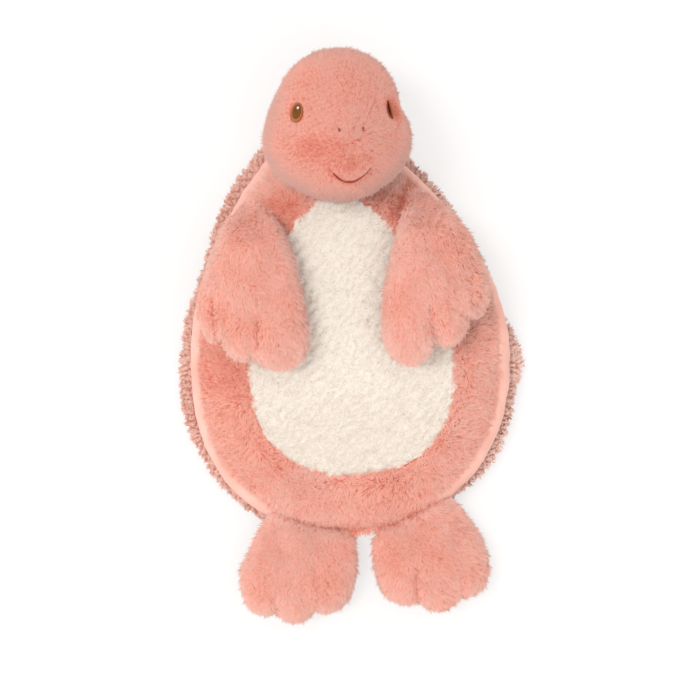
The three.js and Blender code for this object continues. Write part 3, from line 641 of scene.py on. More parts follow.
strands = pile(roots, facing, nap, lengths, rng, **BORDER_PILE, painted_shading_and_wear=painted_shading_and_wear)
make_plush("belly_border", skin(cloth, faces), strands, coral_plush, "torso",
           ["belly_border"])


# Tummy
# A cream plush panel, embossed with a slanting basket weave while hot, so that short raised bars
# lie against one another in zigzag rows. It is sewn edge to edge to the border.

RIB_STEP = 7.5
RIB_BREAK = 15.0
RIB_RISE = 1.35
TUMMY_ROWS, TUMMY_COLUMNS = 120, 300
TUMMY_STRANDS = 66000
TUMMY_PILE = {"width": 0.7, "lift": (0.5, 0.2), "clump": 0.25, "clump_size": 3.0, "stray": 0.03,
              "skylit": 0.3}


def basket(x, y):
    """Height of the relief from 0 to 1: ribs that slant up to the right, broken by shallower
    furrows that slant the other way and shift each rib by half a step, all a little wavy."""
    wavy = 1.6 * waves(np.stack([x, y, 0 * x], axis=1), 30, 15)
    rising = (x + y) / np.sqrt(2) + wavy[:, 0]
    falling = (y - x) / np.sqrt(2) + wavy[:, 1]
    column = np.floor(rising / RIB_BREAK)
    rib = np.cos(np.pi * (falling / RIB_STEP + 0.5 * column)) ** 2
    ends = np.abs(np.sin(np.pi * rising / RIB_BREAK)) ** 0.4
    return rib ** 0.7 * (0.45 + 0.55 * ends)


# Undyed cream polyester: its tips are painted paler as the light they catch, and its root painted
# deeper and warmer as shade
cream_plush = plush("cream embossed plush", "d8cabc", "e8ddd0", "efe8dd", patch_mm=20.0,
                    patch_share=0.1)
shares = np.linspace(0.01, 1, TUMMY_ROWS)[:, None]
cloth = tummy_surface(shares, around(TUMMY_COLUMNS), PILE_DEPTH + SLACK)
cloth += finer(tummy_rise, TUMMY_ROWS, TUMMY_COLUMNS)
cloth = cloth.reshape(-1, 3)
cloth[:, 2] += RIB_RISE * (basket(cloth[:, 0], cloth[:, 1]) - 0.5)
cloth = under_head(cloth, LOWEST_CLOTH)
faces = grid_faces(TUMMY_ROWS, TUMMY_COLUMNS)
roots, facing = clear_of_head(*scatter(cloth, faces, TUMMY_STRANDS, rng))
nap = [0.8, 0.5, 0] + 0.7 * waves(roots, 14, 8)
relief = basket(roots[:, 0], roots[:, 1])
# Painted shade: the furrows of the relief are darker; the panel is also darker towards the feet end
painted_shading_and_wear = 0.25 * (relief - 0.6) + 0.25 - 0.5 * smooth_share(-roots[:, 1], -20, 60)
strands = pile(roots, facing, nap, 2.3 + 1.3 * relief, rng, **TUMMY_PILE, painted_shading_and_wear=painted_shading_and_wear)
make_plush("tummy", skin(*closed_middle(cloth, faces, TUMMY_COLUMNS)), strands, cream_plush,
           "torso", ["tummy_panel"], sheer=True)


# Edge band
# A folded strip of smooth brushed velour between the belly and the shell. Its fold stands up as a
# soft rounded ridge that is a little uneven along its length.

BAND_STEPS, BAND_COLUMNS = 18, 420
BAND_RISE = 2.6
BAND_SEAT = 1.2
BAND_SUNK = 5.0
BAND_FOOT = 1.5
BAND_LOWEST = 6.0


def fibrous(name, shade, colour, grain_mm, detail, ends, bump, surface, cloud_mm=None):
    """A material of fine fibres, whose grain is a noise that lifts the surface. Its colour goes
    from shade to colour between two levels of the grain, or of a wider cloud where it has one."""
    material, tree, out = new_material(name)
    where = add_node(tree, "ShaderNodeTexCoord").outputs["Object"]
    grain = add_node(tree, "ShaderNodeTexNoise", {"Scale": 1 / (grain_mm * MM), "Detail": detail},
                     Vector=where)
    cloud = grain
    if cloud_mm:
        cloud = add_node(tree, "ShaderNodeTexNoise", {"Scale": 1 / (cloud_mm * MM), "Detail": 2.0},
                         Vector=where)
    tone = add_node(tree, "ShaderNodeValToRGB", Fac=cloud.outputs["Fac"])
    for stop, end, hex_code in zip(tone.color_ramp.elements, ends, (shade, colour)):
        stop.position, stop.color = end, srgb(hex_code)
    lift = add_node(tree, "ShaderNodeBump", bump, Height=grain.outputs["Fac"])
    fibre = add_node(tree, "ShaderNodeBsdfPrincipled", surface, Base_Color=tone.outputs["Color"],
                     Normal=lift.outputs["Normal"])
    tree.links.new(fibre.outputs[0], out.inputs["Surface"])
    return material


# Brushed velour: its short nap gives a pale soft bloom at glancing angles. The nap is drawn
# 0.9 mm coarse, because real fibres are too fine to show.
velour = fibrous("brushed velour", "e8ae9f", "f0beb0", 0.9, 3.0, (0.3, 0.7),
                 {"Strength": 0.35, "Distance": 0.3 * MM},
                 {"Roughness": 0.85, "Sheen Weight": 0.5, "Sheen Roughness": 0.4,
                  "Specular IOR Level": 0.2}, cloud_mm=24)

# Half a turn of the strip from the belly to the side seam, on a share of the dome's slope
angles = around(BAND_COLUMNS)
turn = np.linspace(0, np.pi, BAND_STEPS)[:, None]
share = 0.5 + 0.5 * np.cos(turn)
shown = 1 - band_hidden(angles)
x0, y0 = egg(BODY, angles)
x1, y1 = egg(inset_of(BODY, BAND_WIDTH), angles)
x, y = x0 + (x1 - x0) * share, y0 + (y1 - y0) * share
z = dome(x, y) * 0.55 + (RIM_HEIGHT + BAND_SEAT) * 0.45
z += BAND_RISE * shown * np.sin(turn) - BAND_SUNK * (1 - shown)
ridge = np.stack([*drawn_in(x, y, 1), z], axis=-1).reshape(-1, 3)
foot = ridge[-BAND_COLUMNS:] * [1, 1, 0] + [0, 0, RIM_HEIGHT - BAND_FOOT]
ridge = np.concatenate([ridge, foot])
ridge += (0.45 * waves(ridge, 26, 21) + 0.25 * waves(ridge, 9, 22)) * [0.6, 0.6, 0.8]
ridge = under_head(ridge, BAND_LOWEST)
band = make_piece("edge_band_velour", skin(ridge, grid_faces(BAND_STEPS + 1, BAND_COLUMNS)),
                  velour, "torso", ["edge_band"])


# Shell
# The back of the toy: a thin padded oval of curly plush, which stands out past the band as a soft
# uneven fringe. Its pile is drawn together into small pointed tufts.

SHELL = {"half_width": 128.5, "up": 188.0, "down": 121.0}
SHELL_RIM = 14.0
SHELL_INSET = 2.5
SHELL_LOWEST = 3.0
SHELL_ROWS, SHELL_COLUMNS = 22, 360
SHELL_STRANDS = 60000
SHELL_PILE = {"width": 0.9, "lift": (0.8, 0.5), "spread": 0.12, "clump": 0.3, "clump_size": 5.0,
              "stray": 0.03, "skylit": 0.9}
TUFT = 4.8
BACK_ROWS = 60
BACK_LAP = 2.0
BACK_HEIGHT = 2.6
BACK_STRANDS = 52000
BACK_PILE = {"width": 1.1, "lift": (0.5, 0.1), "clump": 0.8, "clump_size": 6.0}
# How far the fringe is folded in under the body, at directions round it in degrees from +X
SHELL_FOLD = np.array([
    [-180, 0.3], [-168, -0.3], [-150, 2], [-134, -1], [-124, -4], [-116, -1], [-100, 2], [-60, 5],
    [-48, 5], [-36, 4.5], [-24, 5.5], [-12, 6], [-4, 0.5], [4, 2.5], [12, 8], [18, 12], [26, 10],
    [36, 8], [44, 10], [54, 4.5], [62, 3], [72, 0.5], [108, -1.5], [120, -1.8], [132, 2.3],
    [140, 6], [151, 6.8], [160, 3], [168, 3], [175, 1]])
RIPPLE = 1.2


def folded_in(x, y):
    """Places moved towards the middle of the body by the fold of the fringe there, and by a fine
    ripple: two sines of the direction multiplied."""
    turn = np.arctan2(y, x)
    fold = np.interp(np.degrees(turn), *SHELL_FOLD.T, period=360)
    fold = fold + RIPPLE * np.sin(100 * turn) * np.sin(37 * turn)
    share = 1 - fold / np.maximum(np.hypot(x, y), 1)
    return x * share, y * share


def shell_surface(turn, angle, inset):
    """The padded rim: half an upright oval ring, from its flat underside at turn 0 round the edge
    to its top at turn 1."""
    bow = np.pi * (turn - 0.5)
    depth = SHELL_RIM * (1 - np.cos(bow)) + inset
    x0, y0 = egg(SHELL, angle)
    x1, y1 = egg(inset_of(SHELL, 2 * SHELL_RIM), angle)
    share = depth / (2 * SHELL_RIM)
    middle = RIM_HEIGHT / 2
    z = middle + (middle - 0.8 * inset) * np.sin(bow) + 0 * angle
    return np.stack([*folded_in(x0 + (x1 - x0) * share, y0 + (y1 - y0) * share), z], axis=-1)


# Dusty coral polyester: its curls shade one another, so it looks browner than the belly
shell_plush = plush("dusty curly plush", "ce8c7b", "e1aa9a", "eec8bb", patch_mm=30.0)
rng = np.random.default_rng(23)
angles = around(SHELL_COLUMNS)
cloth = shell_surface(np.linspace(0, 1, SHELL_ROWS)[:, None], angles, SHELL_INSET).reshape(-1, 3)
cloth = under_head(cloth, SHELL_LOWEST)
faces = grid_faces(SHELL_ROWS, SHELL_COLUMNS, turned=True)
roots, facing = clear_of_head(*scatter(cloth, faces, SHELL_STRANDS, rng))

# Each strand leans to the middle of its tuft, a cell of a wavy cubic grid
outward = unit(roots - [0, 20, 6]) * [1, 1, 0.2]
cells = roots / TUFT + 0.35 * waves(roots, 17, 31)
nap = 0.4 * outward + 2.2 * (np.round(cells) - cells) + 0.2 * waves(roots, 30, 32)
lengths = np.where(facing[:, 2] < -0.3, 2.2, 4.0)
# Painted light: the pile is paler towards +x, the side that the lamp at the left leaves in shade
painted_shading_and_wear = 0.1 + 0.3 * smooth_share(roots[:, 0], -20, 90)
strands = pile(roots, facing, nap, lengths, rng, **SHELL_PILE, painted_shading_and_wear=painted_shading_and_wear)
make_plush("shell_rim", skin(cloth, faces), strands, shell_plush, "torso",
           ["shell_cover"])

shares = np.linspace(0.01, 1, BACK_ROWS)[:, None]
x, y = folded_in(*egg(inset_of(SHELL, SHELL_RIM - BACK_LAP), angles, shares))
cloth = np.stack([x, y, BACK_HEIGHT + 0 * x], axis=-1).reshape(-1, 3)
faces = grid_faces(BACK_ROWS, SHELL_COLUMNS, turned=True)
roots, facing = scatter(cloth, faces, BACK_STRANDS, rng)
strands = pile(roots, facing, [0, -1, 0] + waves(roots, 7, 33), 4.6, rng, **BACK_PILE)
back = closed_middle(cloth, faces, SHELL_COLUMNS, turned=True)
make_plush("shell_back", skin(*back), strands, shell_plush, "torso", [])


# Head
# A firmly filled ball of the same coral plush, with shorter pile. A strip runs over the crown and
# down the snout between two cheeks, and a chin piece closes it under the smile.

HEAD = {"half_width": 54.3, "half_height": 57.0, "front": 46.0, "back": 47.0}
PEAR_SHARE = 0.08
SNOUT = {"reach": 13.0, "half_width": 27.0, "half_height": 25.0, "drop": 15.0}
SNOUT_TIP = np.array([0, -14.0, 60.0])
HEAD_TURN = np.radians(11)
MOUTH_DROP = 42.0
MOUTH_HALF = 14.0
MOUTH_RISE = 8.5
MOUTH_ASIDE = 1.2
CHIN_SEAM_HALF = 34.0
CHIN_SEAM_RISE = 15.0
GUSSET_HALF = 26.0
GUSSET_AT_MOUTH = 14.0
GUSSET_TAPER_END = 10.0
COLLAR_HALF = 30.0
COLLAR_RADIUS = 46.0
COLLAR_BEND_DEGREES = 40.5
COLLAR_SPAN_DEGREES = 47.5
CROWN_SHARE = 0.02
CROWN_LEAN = 2.5
EYE = {"height": 8.0, "half_width": 4.6, "half_height": 7.4}
EYE_ACROSS = {"left": 36.5, "right": -34.0}
EYE_ASIDE = {"left": -2.5, "right": 0.0}
EYE_SEEN = {"left": 0.75, "right": 1.0}
SOCKET = {"left": 1.8, "right": 1.0}
SOCKET_DEPTH, SOCKET_WIDTH = 1.2, 7.5
NOSTRIL = {"across": 8.1, "height": -7.2, "depth": 1.6, "width": 3.0}
HEAD_INSET = 3.4
HEAD_SWELL = 1.6
HEAD_SIM_ROWS, HEAD_SIM_COLUMNS = 34, 54
HEAD_ROWS, HEAD_COLUMNS = 110, 160
HEAD_STRANDS = 125000
HEAD_STRAND_LENGTH = 4.8
HEAD_PILE = {"width": 0.5, "lift": (0.5, 0.18), "spread": 0.22, "clump": 0.3, "clump_size": 2.8,
             "stray": 0.06, "skylit": 0.8}
# Places where the pile is stroked down and painted deeper, as shade seen into it, and one at 38.5,
# 7 painted as shade in the left eye's socket: x, y, half width, half height, how deep
STROKED_SHADE = ((-23, -15, 14, 8, 0.38), (-1, -28, 17, 11, 0.3), (38.5, 7, 4.5, 8, 0.55),
           (32, -9, 9, 15, 0.16), (-30, 25, 12, 14, 0.25), (-28, 4, 9, 9, 0.22))


def head_surface(direction, inset):
    """The head in its own frame: an egg-shaped ball with the snout as a smooth bump in front, and
    a hollow behind the chin where the neck is sewn on."""
    x, y, z = direction.T
    wide = (HEAD["half_width"] - inset) * x * (1 - PEAR_SHARE * np.sin(np.pi * y))
    deep = (np.where(z > 0, HEAD["front"], HEAD["back"]) - inset) * z
    point = np.stack([wide, (HEAD["half_height"] - inset) * y, deep], axis=1)
    aside = point[:, 0] / SNOUT["half_width"]
    below = (point[:, 1] + SNOUT["drop"]) / SNOUT["half_height"]
    point[:, 2] += SNOUT["reach"] * smooth_share(z, 0, 1) * np.exp(-aside ** 2 - below ** 2)
    down = np.degrees(np.arctan2(-point[:, 1], -point[:, 2]))
    away = np.maximum(np.abs(point[:, 0]) - COLLAR_HALF - 1, 0) / 5
    around_neck = np.maximum(np.abs(down - COLLAR_BEND_DEGREES) - COLLAR_SPAN_DEGREES, 0) / 6
    away = np.maximum(away, around_neck)
    reach = np.linalg.norm(point, axis=1)
    kept = np.minimum(reach, COLLAR_RADIUS - 1)
    kept += (reach - kept) * smooth_share(away, 0, 1)
    return point * (kept / reach)[:, None]


def ball_directions(rows, columns):
    """Unit vectors over a ball, in rings from the crown to the chin."""
    fall = np.linspace(0.015, np.pi - 0.015, rows)[:, None]
    turn = around(columns)
    x, y, z = np.sin(fall) * np.sin(turn), np.cos(fall) + 0 * turn, np.sin(fall) * np.cos(turn)
    return np.stack([x, y, z], axis=-1).reshape(-1, 3)


def head_turned(vectors):
    """Directions in the head's own frame as the toy's: turned to its left."""
    c, s = np.cos(HEAD_TURN), np.sin(HEAD_TURN)
    return vectors @ np.array([[c, 0, s], [0, 1, 0], [-s, 0, c]]).T


def head_place(points):
    """From the head's own frame to the toy's: turned and set at its middle."""
    return head_turned(points) + HEAD_MIDDLE


def head_panel(points):
    """Which piece of cloth a place on the head belongs to: 0 strip, 1 left, 2 right, 3 chin."""
    x, y, z = points.T
    rise = CHIN_SEAM_RISE * np.minimum((x / CHIN_SEAM_HALF) ** 2, 1)
    up = np.clip((y + MOUTH_DROP) / (GUSSET_TAPER_END + MOUTH_DROP), 0, 1)
    half = GUSSET_AT_MOUTH + (GUSSET_HALF - GUSSET_AT_MOUTH) * up
    side = np.where(x > 0, 1, 2)
    return np.where(y < rise - MOUTH_DROP, 3, np.where(np.abs(x) < half, 0, side))


def smile_height(x):
    """Height of the smile at a place across the face: a parabola that is lowest a little aside."""
    return MOUTH_RISE * ((x - MOUTH_ASIDE) / MOUTH_HALF) ** 2 - MOUTH_DROP


def spot(points, x, y, across, up):
    """1 at a place on the face and 0 well away from it, over a soft oval."""
    reach = ((points[:, 0] - x) / across) ** 2 + ((points[:, 1] - y) / up) ** 2
    return np.exp(-reach) * (points[:, 2] > 0)


# The cover swells over its filling, but not along the smile or where the neck is sewn on
rng = np.random.default_rng(37)
coarse = head_surface(ball_directions(HEAD_SIM_ROWS, HEAD_SIM_COLUMNS), HEAD_INSET)
x, y, z = capped(coarse, HEAD_SIM_COLUMNS).T
held = (np.abs(y - smile_height(x)) < 2.5) & (np.abs(x) < MOUTH_HALF) & (z > 0)
held |= np.sqrt(x ** 2 + y ** 2 + z ** 2) < COLLAR_RADIUS
rise = puffed(coarse.reshape(HEAD_SIM_ROWS, HEAD_SIM_COLUMNS, 3), held, HEAD_SWELL)
cloth = head_surface(ball_directions(HEAD_ROWS, HEAD_COLUMNS), HEAD_INSET)
cloth += finer(rise, HEAD_ROWS, HEAD_COLUMNS).reshape(-1, 3)
cloth[:, 1] *= 1 + CROWN_SHARE * smooth_share(cloth[:, 1], 0, 45)
cloth[:, 0] += CROWN_LEAN * smooth_share(cloth[:, 1], 5, 50)

# The eyes lie in shallow sockets, and the nostrils in dimples
head_faces = grid_faces(HEAD_ROWS, HEAD_COLUMNS)
for side, name in ((1, "left"), (-1, "right")):
    away = np.hypot(cloth[:, 0] - EYE_ACROSS[name], (cloth[:, 1] - EYE["height"]) * 0.8)
    dent = SOCKET_DEPTH * SOCKET[name] ** 2 * close_to(away, SOCKET_WIDTH) * (cloth[:, 2] > 0)
    cloth -= dent[:, None] * normals_of(cloth, head_faces)
    away = np.hypot(cloth[:, 0] - side * NOSTRIL["across"], cloth[:, 1] - NOSTRIL["height"])
    dent = NOSTRIL["depth"] * close_to(away, NOSTRIL["width"]) * (cloth[:, 2] > 0)
    cloth -= dent[:, None] * normals_of(cloth, head_faces)
head_normals = normals_of(cloth, head_faces)

# The pile is clipped short round the eyes and at the smile, and leaves the eyes bare
roots, facing = scatter(cloth, head_faces, HEAD_STRANDS, rng)
near_eye, on_eye = np.zeros(len(roots)), np.zeros(len(roots), bool)
for name in ("left", "right"):
    centre = EYE_ACROSS[name] + EYE_ASIDE[name]
    up = (roots[:, 1] - EYE["height"]) / EYE["half_height"]
    inner = np.hypot((roots[:, 0] - centre) / (EYE["half_width"] * EYE_SEEN[name]), up)
    on_eye |= (inner < 1) & (roots[:, 2] > 0)
    outer = np.hypot((roots[:, 0] - EYE_ACROSS[name]) / (EYE["half_width"] * SOCKET[name]), up)
    clipped = np.where(roots[:, 2] > 0, 1 - smooth_share(outer, 1.0, 1.9), 0)
    near_eye = np.maximum(near_eye, clipped)
roots, facing, near_eye = roots[~on_eye], facing[~on_eye], near_eye[~on_eye]
mouth_gap = np.abs(roots[:, 1] - smile_height(roots[:, 0]))
in_mouth = (np.abs(roots[:, 0] - MOUTH_ASIDE) < MOUTH_HALF + 1) & (roots[:, 2] > 0)
shortness = np.where(in_mouth, 1 - smooth_share(mouth_gap, 0.8, 5), 0)
crease = np.where(in_mouth, 1 - smooth_share(mouth_gap, 0.5, 2.2), 0)
lengths = HEAD_STRAND_LENGTH * (1 - 0.72 * np.maximum(near_eye, shortness))

# It is combed away from the tip of the snout, and lies unevenly near it
from_tip = roots - SNOUT_TIP
nap = unit(from_tip) * smooth_share(np.linalg.norm(from_tip, axis=1), 2, 22)[:, None]
loose = 1.2 - np.linalg.norm(nap, axis=1, keepdims=True)
nap += 0.22 * waves(roots, 40, 12) + 0.25 * waves(roots, 11, 13) * loose

# It is painted greyer round the sides, on the chin and towards the left eye, as the shade of pile
# seen side-on, and painted deeper as shade in the smile's crease and round the left eye's socket
painted_shading_and_wear = 0.4 * (1 - smooth_share(facing[:, 2], 0.15, 0.75))
painted_shading_and_wear += 0.15 * smooth_share(-roots[:, 1], 34, 50) + 0.15 * smooth_share(roots[:, 0], 14, 48)
painted_shading_and_wear -= 0.35 * crease + 0.15 * near_eye * (roots[:, 0] > 0)
# Painted shade where the pile is stroked
for *place, depth in STROKED_SHADE:
    painted_shading_and_wear -= depth * spot(roots, *place)

# Coral polyester clipped short, whose tips are painted greyer, as the shade of pile seen side-on
head_plush = plush("short coral plush", "da7965", "edac9b", "d2a69b", patch_mm=45.0)
closed, closed_faces = capped(cloth, HEAD_COLUMNS), capped_faces(HEAD_ROWS, HEAD_COLUMNS)
face_panel = head_panel(closed[closed_faces].mean(axis=1))
panel = head_panel(roots)
for index, name in enumerate(("head_gusset", "head_side_left", "head_side_right", "chin_panel")):
    here = panel == index
    used, compact = np.unique(closed_faces[face_panel == index], return_inverse=True)
    points, faces, height, tone, normals, plain = skin(closed, closed_faces[face_panel == index])
    backing = (head_place(points[used]), compact.reshape(faces.shape), height[used], tone[used],
               head_turned(normals[used]), plain[used])
    points, faces, height, tone, normals, shading_and_wear = pile(
        roots[here], facing[here], nap[here], lengths[here], rng, **HEAD_PILE, painted_shading_and_wear=painted_shading_and_wear[here])
    strands = (head_place(points), faces, height, tone, head_turned(normals), shading_and_wear)
    make_plush(name, backing, strands, head_plush, "head", [name])


# Eyes
# Embroidered in satin stitch straight onto the cloth: a gold ring, a dark brown oval that domes
# over it, and a white glint. The pile is clipped short round each.

IRIS = {"half_width": 5.4, "half_height": 7.6, "rise": 0.9, "up": 0.0, "aside": 0.0}
PUPIL = {"half_width": 4.0, "half_height": 5.9, "rise": 1.8, "up": 0.4, "aside": 0.5}
GLINT = {"half_width": 1.1, "half_height": 1.4, "rise": 2.2, "up": 2.9, "aside": 1.8}
EYE_SINK = 2.0
EYE_FOOT = 0.8
EYE_ON_PILE = 2.6
EYE_TURN = {"left": np.radians(50), "right": 0.0}
STITCHES_ROUND = 24


def face_place(x, y, skin_points, skin_normals):
    """The point of the cloth over a place on the face, and the cloth's normal there: the mean of
    the six nearest points, weighted by closeness."""
    away = np.hypot(skin_points[:, 0] - x, skin_points[:, 1] - y) + 1000 * (skin_points[:, 2] < 0)
    near = np.argsort(away)[:6]
    weight = (1 / (away[near] + 0.05))[:, None]
    weight = weight / weight.sum()
    return (weight * skin_points[near]).sum(axis=0), unit((weight * skin_normals[near]).sum(axis=0))


def face_basis(normal):
    """Across, up and out for a piece that lies on the face: up leans towards the crown."""
    up = unit(np.array([0, 1.0, 0]) - normal[1] * normal)
    return np.stack([np.cross(up, normal), up, normal])


def stitched_oval(oval, origin, basis, rows=14, columns=96):
    """A domed oval of satin stitch as a closed form: half an ellipsoid with fine ridges that run
    from its middle to its edge, over a flat foot."""
    fall = np.linspace(0.04, 1, rows)[:, None]
    turn = around(columns)
    ridge = 1 + 0.05 * np.sign(np.sin(STITCHES_ROUND * turn)) * np.sqrt(fall)
    x = oval["half_width"] * fall * np.cos(turn) + oval["aside"]
    y = oval["half_height"] * fall * np.sin(turn) + oval["up"]
    z = oval["rise"] * np.sqrt(np.maximum(1 - fall ** 2.4, 0)) * ridge
    top = np.stack([x, y, z - EYE_SINK], axis=-1).reshape(-1, 3)
    foot = top[-columns:] - [0, 0, EYE_FOOT]
    crown = np.array([[oval["aside"], oval["up"], oval["rise"] - EYE_SINK]])
    base = crown * [1, 1, 0] - [0, 0, EYE_SINK + EYE_FOOT]
    local = np.concatenate([top, foot, crown, base])
    return origin + local @ basis, capped_faces(rows + 1, columns)


def thread_material(name, shade, colour):
    """Rayon embroidery thread: twisted, so that its fine ridges catch the light in a soft satin
    gloss. Strands lie about 0.4 mm apart."""
    return fibrous(name, shade, colour, 0.4, 2.0, (0.3, 0.7),
                   {"Strength": 0.4, "Distance": 0.2 * MM},
                   {"Roughness": 0.55, "Specular IOR Level": 0.2})


gold_thread = thread_material("gold embroidery thread", "84451f", "b9784a")
brown_thread = thread_material("brown embroidery thread", "5a2e0a", "875016")
white_thread = thread_material("white embroidery thread", "efe8e0", "ffffff")
for name in ("left", "right"):
    origin, normal = face_place(EYE_ACROSS[name] + EYE_ASIDE[name], EYE["height"], cloth,
                                head_normals)
    c, t = np.cos(EYE_TURN[name]), np.sin(EYE_TURN[name])
    normal = np.array([c * normal[0] + t * normal[2], normal[1], c * normal[2] - t * normal[0]])
    for part, oval, thread in (("iris", IRIS, gold_thread), ("pupil", PUPIL, brown_thread),
                               ("glint", GLINT, white_thread)):
        points, faces = stitched_oval(oval, origin + EYE_ON_PILE * normal, face_basis(normal))
        make_piece(f"eye_{part}_{name}_thread", skin(head_place(points), faces), thread, "head",
                   [f"eye_{part}_{name}"])


# Mouth and nostrils
# The smile is one dark coral thread sewn through the pile and pulled tight, so that it lies in a
# crease. Each nostril is a short stitch that pulls a dimple into the snout.

THREAD_RADIUS = 0.6
MOUTH_ENDS = (-0.85, 1.05)
MOUTH_ON_CLOTH = 1.3
NOSTRIL_STITCH = {"aside": 0.2, "half": 0.9, "rise": 2.4, "thicker": 1.3}


def tube(path, radius, columns=10):
    """A thread of round section along a path, closed at both ends: at each point, a circle square
    to the path's direction there."""
    along = unit(np.gradient(path, axis=0))
    aside = unit(np.cross(along, [0.13, 0.21, 0.97]))
    third = np.cross(along, aside)
    turn = around(columns)[..., None]
    thick = np.broadcast_to(radius, (len(path),))[:, None, None]
    rings = path[:, None] + thick * (np.cos(turn) * aside[:, None] + np.sin(turn) * third[:, None])
    points = np.concatenate([rings.reshape(-1, 3), path[:1], path[-1:]])
    return points, capped_faces(len(path), columns, turned=True)


coral_thread = thread_material("dark coral sewing thread", "8e3a2c", "b8503e")
share = np.linspace(*MOUTH_ENDS, 40)
places = [face_place(x, smile_height(x), cloth, head_normals)
          for x in MOUTH_ASIDE + MOUTH_HALF * share]
path = np.array([point + MOUTH_ON_CLOTH * normal for point, normal in places])
radius = THREAD_RADIUS * (1 - 0.45 * share ** 8) * (1 + 0.15 * waves(path, 5, 9)[:, 0])
points, faces = tube(path, radius)
make_piece("mouth_thread", skin(head_place(points), faces), coral_thread, "head",
           ["mouth_stitch"])
bow = np.linspace(0, np.pi, 9)
for side, name in ((1, "left"), (-1, "right")):
    origin, normal = face_place(side * NOSTRIL["across"], NOSTRIL["height"], cloth, head_normals)
    local = np.stack([side * NOSTRIL_STITCH["aside"] * np.cos(bow),
                      NOSTRIL_STITCH["half"] * np.cos(bow),
                      NOSTRIL_STITCH["rise"] * np.sin(bow)], axis=-1)
    points, faces = tube(origin + local @ face_basis(normal),
                         THREAD_RADIUS * NOSTRIL_STITCH["thicker"])
    make_piece(f"nostril_thread_{name}", skin(head_place(points), faces), coral_thread, "head",
               [f"nostril_stitch_{name}"])


# Neck
# A padded fold of coral plush between the head and the body, which lets the head loll. It is
# hidden while the toy lies flat.

NECK_HALF = 29.0
NECK_BEND = {"middle": 38, "half": 22}
NECK_REACH = {"middle": 52.6, "half": 4.0}
NECK_ROWS, NECK_COLUMNS = 34, 64
NECK_LOWEST = 1.2
NECK_STRANDS = 9000
PILE_LOWEST = 0.4

rng = np.random.default_rng(41)
across = np.linspace(-1, 1, NECK_ROWS)[:, None]
turn = around(NECK_COLUMNS)
full = np.clip(1 - np.abs(across) ** 4, 0, 1) ** 0.25
bend = np.radians(NECK_BEND["middle"] + NECK_BEND["half"] * full * np.cos(turn))
reach = NECK_REACH["middle"] + NECK_REACH["half"] * full * np.sin(turn)
radius = np.sqrt(reach ** 2 - (NECK_HALF * across) ** 2)
collar = np.stack([NECK_HALF * across + 0 * turn, -radius * np.sin(bend), -radius * np.cos(bend)],
                  axis=-1)
collar = head_place(collar.reshape(-1, 3))
collar[:, 2] = np.maximum(collar[:, 2], NECK_LOWEST)
collar = capped(collar, NECK_COLUMNS)
faces = capped_faces(NECK_ROWS, NECK_COLUMNS, turned=True)
roots, facing = scatter(collar, faces, NECK_STRANDS, rng)
strands = pile(roots, facing, [0, -1, 0.2] + 0.4 * waves(roots, 20, 2), 3.2, rng, width=0.9)
strands[0][:, 2] = np.maximum(strands[0][:, 2], PILE_LOWEST)
make_plush("neck_collar", skin(collar, faces), strands, coral_plush, "neck",
           ["neck_collar"])


# Forelegs
# Two flat paddles with three toes, each an upper and a lower panel of coral plush sewn round the
# edge and loosely filled. They are sewn into the side seam at the shoulder and lie on the belly.

FORELEG = {"length": 132.0, "width": 82.0, "up": 15.5, "down": 10.5, "root": 40.0,
           "root_share": 0.06}
FORELEG_OVERHANG = 12.0
FORELEG_STRANDS = 44000
SHOULDER_UP = 129.0
SHOULDER_INSET = 5.0
SHOULDER_ACROSS_SHARE = 0.43
FORELEG_SWING = {"left": 0.0, "right": 3.5}
# The outline, as shares of the length down from the shoulder and of the width outwards
FORELEG_EDGE = {
    "outer": [[0, 0.43], [0.038, 0.512], [0.129, 0.622], [0.25, 0.756], [0.394, 0.878],
              [0.515, 0.963]],
    "left": [[0.6, 0.994], [0.685, 0.963], [0.745, 0.89], [0.74, 0.805], [0.81, 0.774],
             [0.885, 0.695], [0.91, 0.585], [0.885, 0.476], [0.965, 0.378]],
    "right": [[0.629, 0.994], [0.727, 0.963], [0.799, 0.89], [0.788, 0.805], [0.841, 0.774],
              [0.909, 0.695], [0.93, 0.62], [0.915, 0.55], [0.958, 0.46], [0.987, 0.37]],
    "inner": [[1, 0.244], [0.962, 0.098], [0.871, 0.012], [0.735, 0], [0.583, 0.024], [0.41, 0.098],
              [0.235, 0.195], [0.083, 0.29]]}
FORELEG_TOES = {"left": [[[0.66, 0.43], [0.81, 0.45]], [[0.5, 0.785], [0.66, 0.79]]],
                "right": [[[0.68, 0.445], [0.84, 0.462]], [[0.52, 0.81], [0.774, 0.828]]]}
FORELEG_WIDER = {"left": 5.0, "right": -6.0}
FORELEG_MIDDLE = [0.6, 0.48]
FORELEG_BEND = {"height": 22.0, "length": 24.0}
SEAT_GAP = 0.6
LIMB_INSET = 2.8
LIMB_SLACK = 1.0
LIMB_THINNEST = 1.2
LIMB_SWELL = 3.0
LIMB_LOWEST = 2.2
LIMB_ROWS, LIMB_COLUMNS = 30, 150
LIMB_PILE = {"width": 0.7, "lift": (0.5, 0.2), "clump_size": 3.2, "skylit": 0.3}
LIMB_PILE_LOWEST = 0.3
UPPER_SHARE = {True: 0.62, False: 0.38}
PAD_POWER = 3.4
TOE_GROOVE = {"depth": 2.2, "width": 1.8}
TOE_THREAD_ON_CLOTH = 0.8


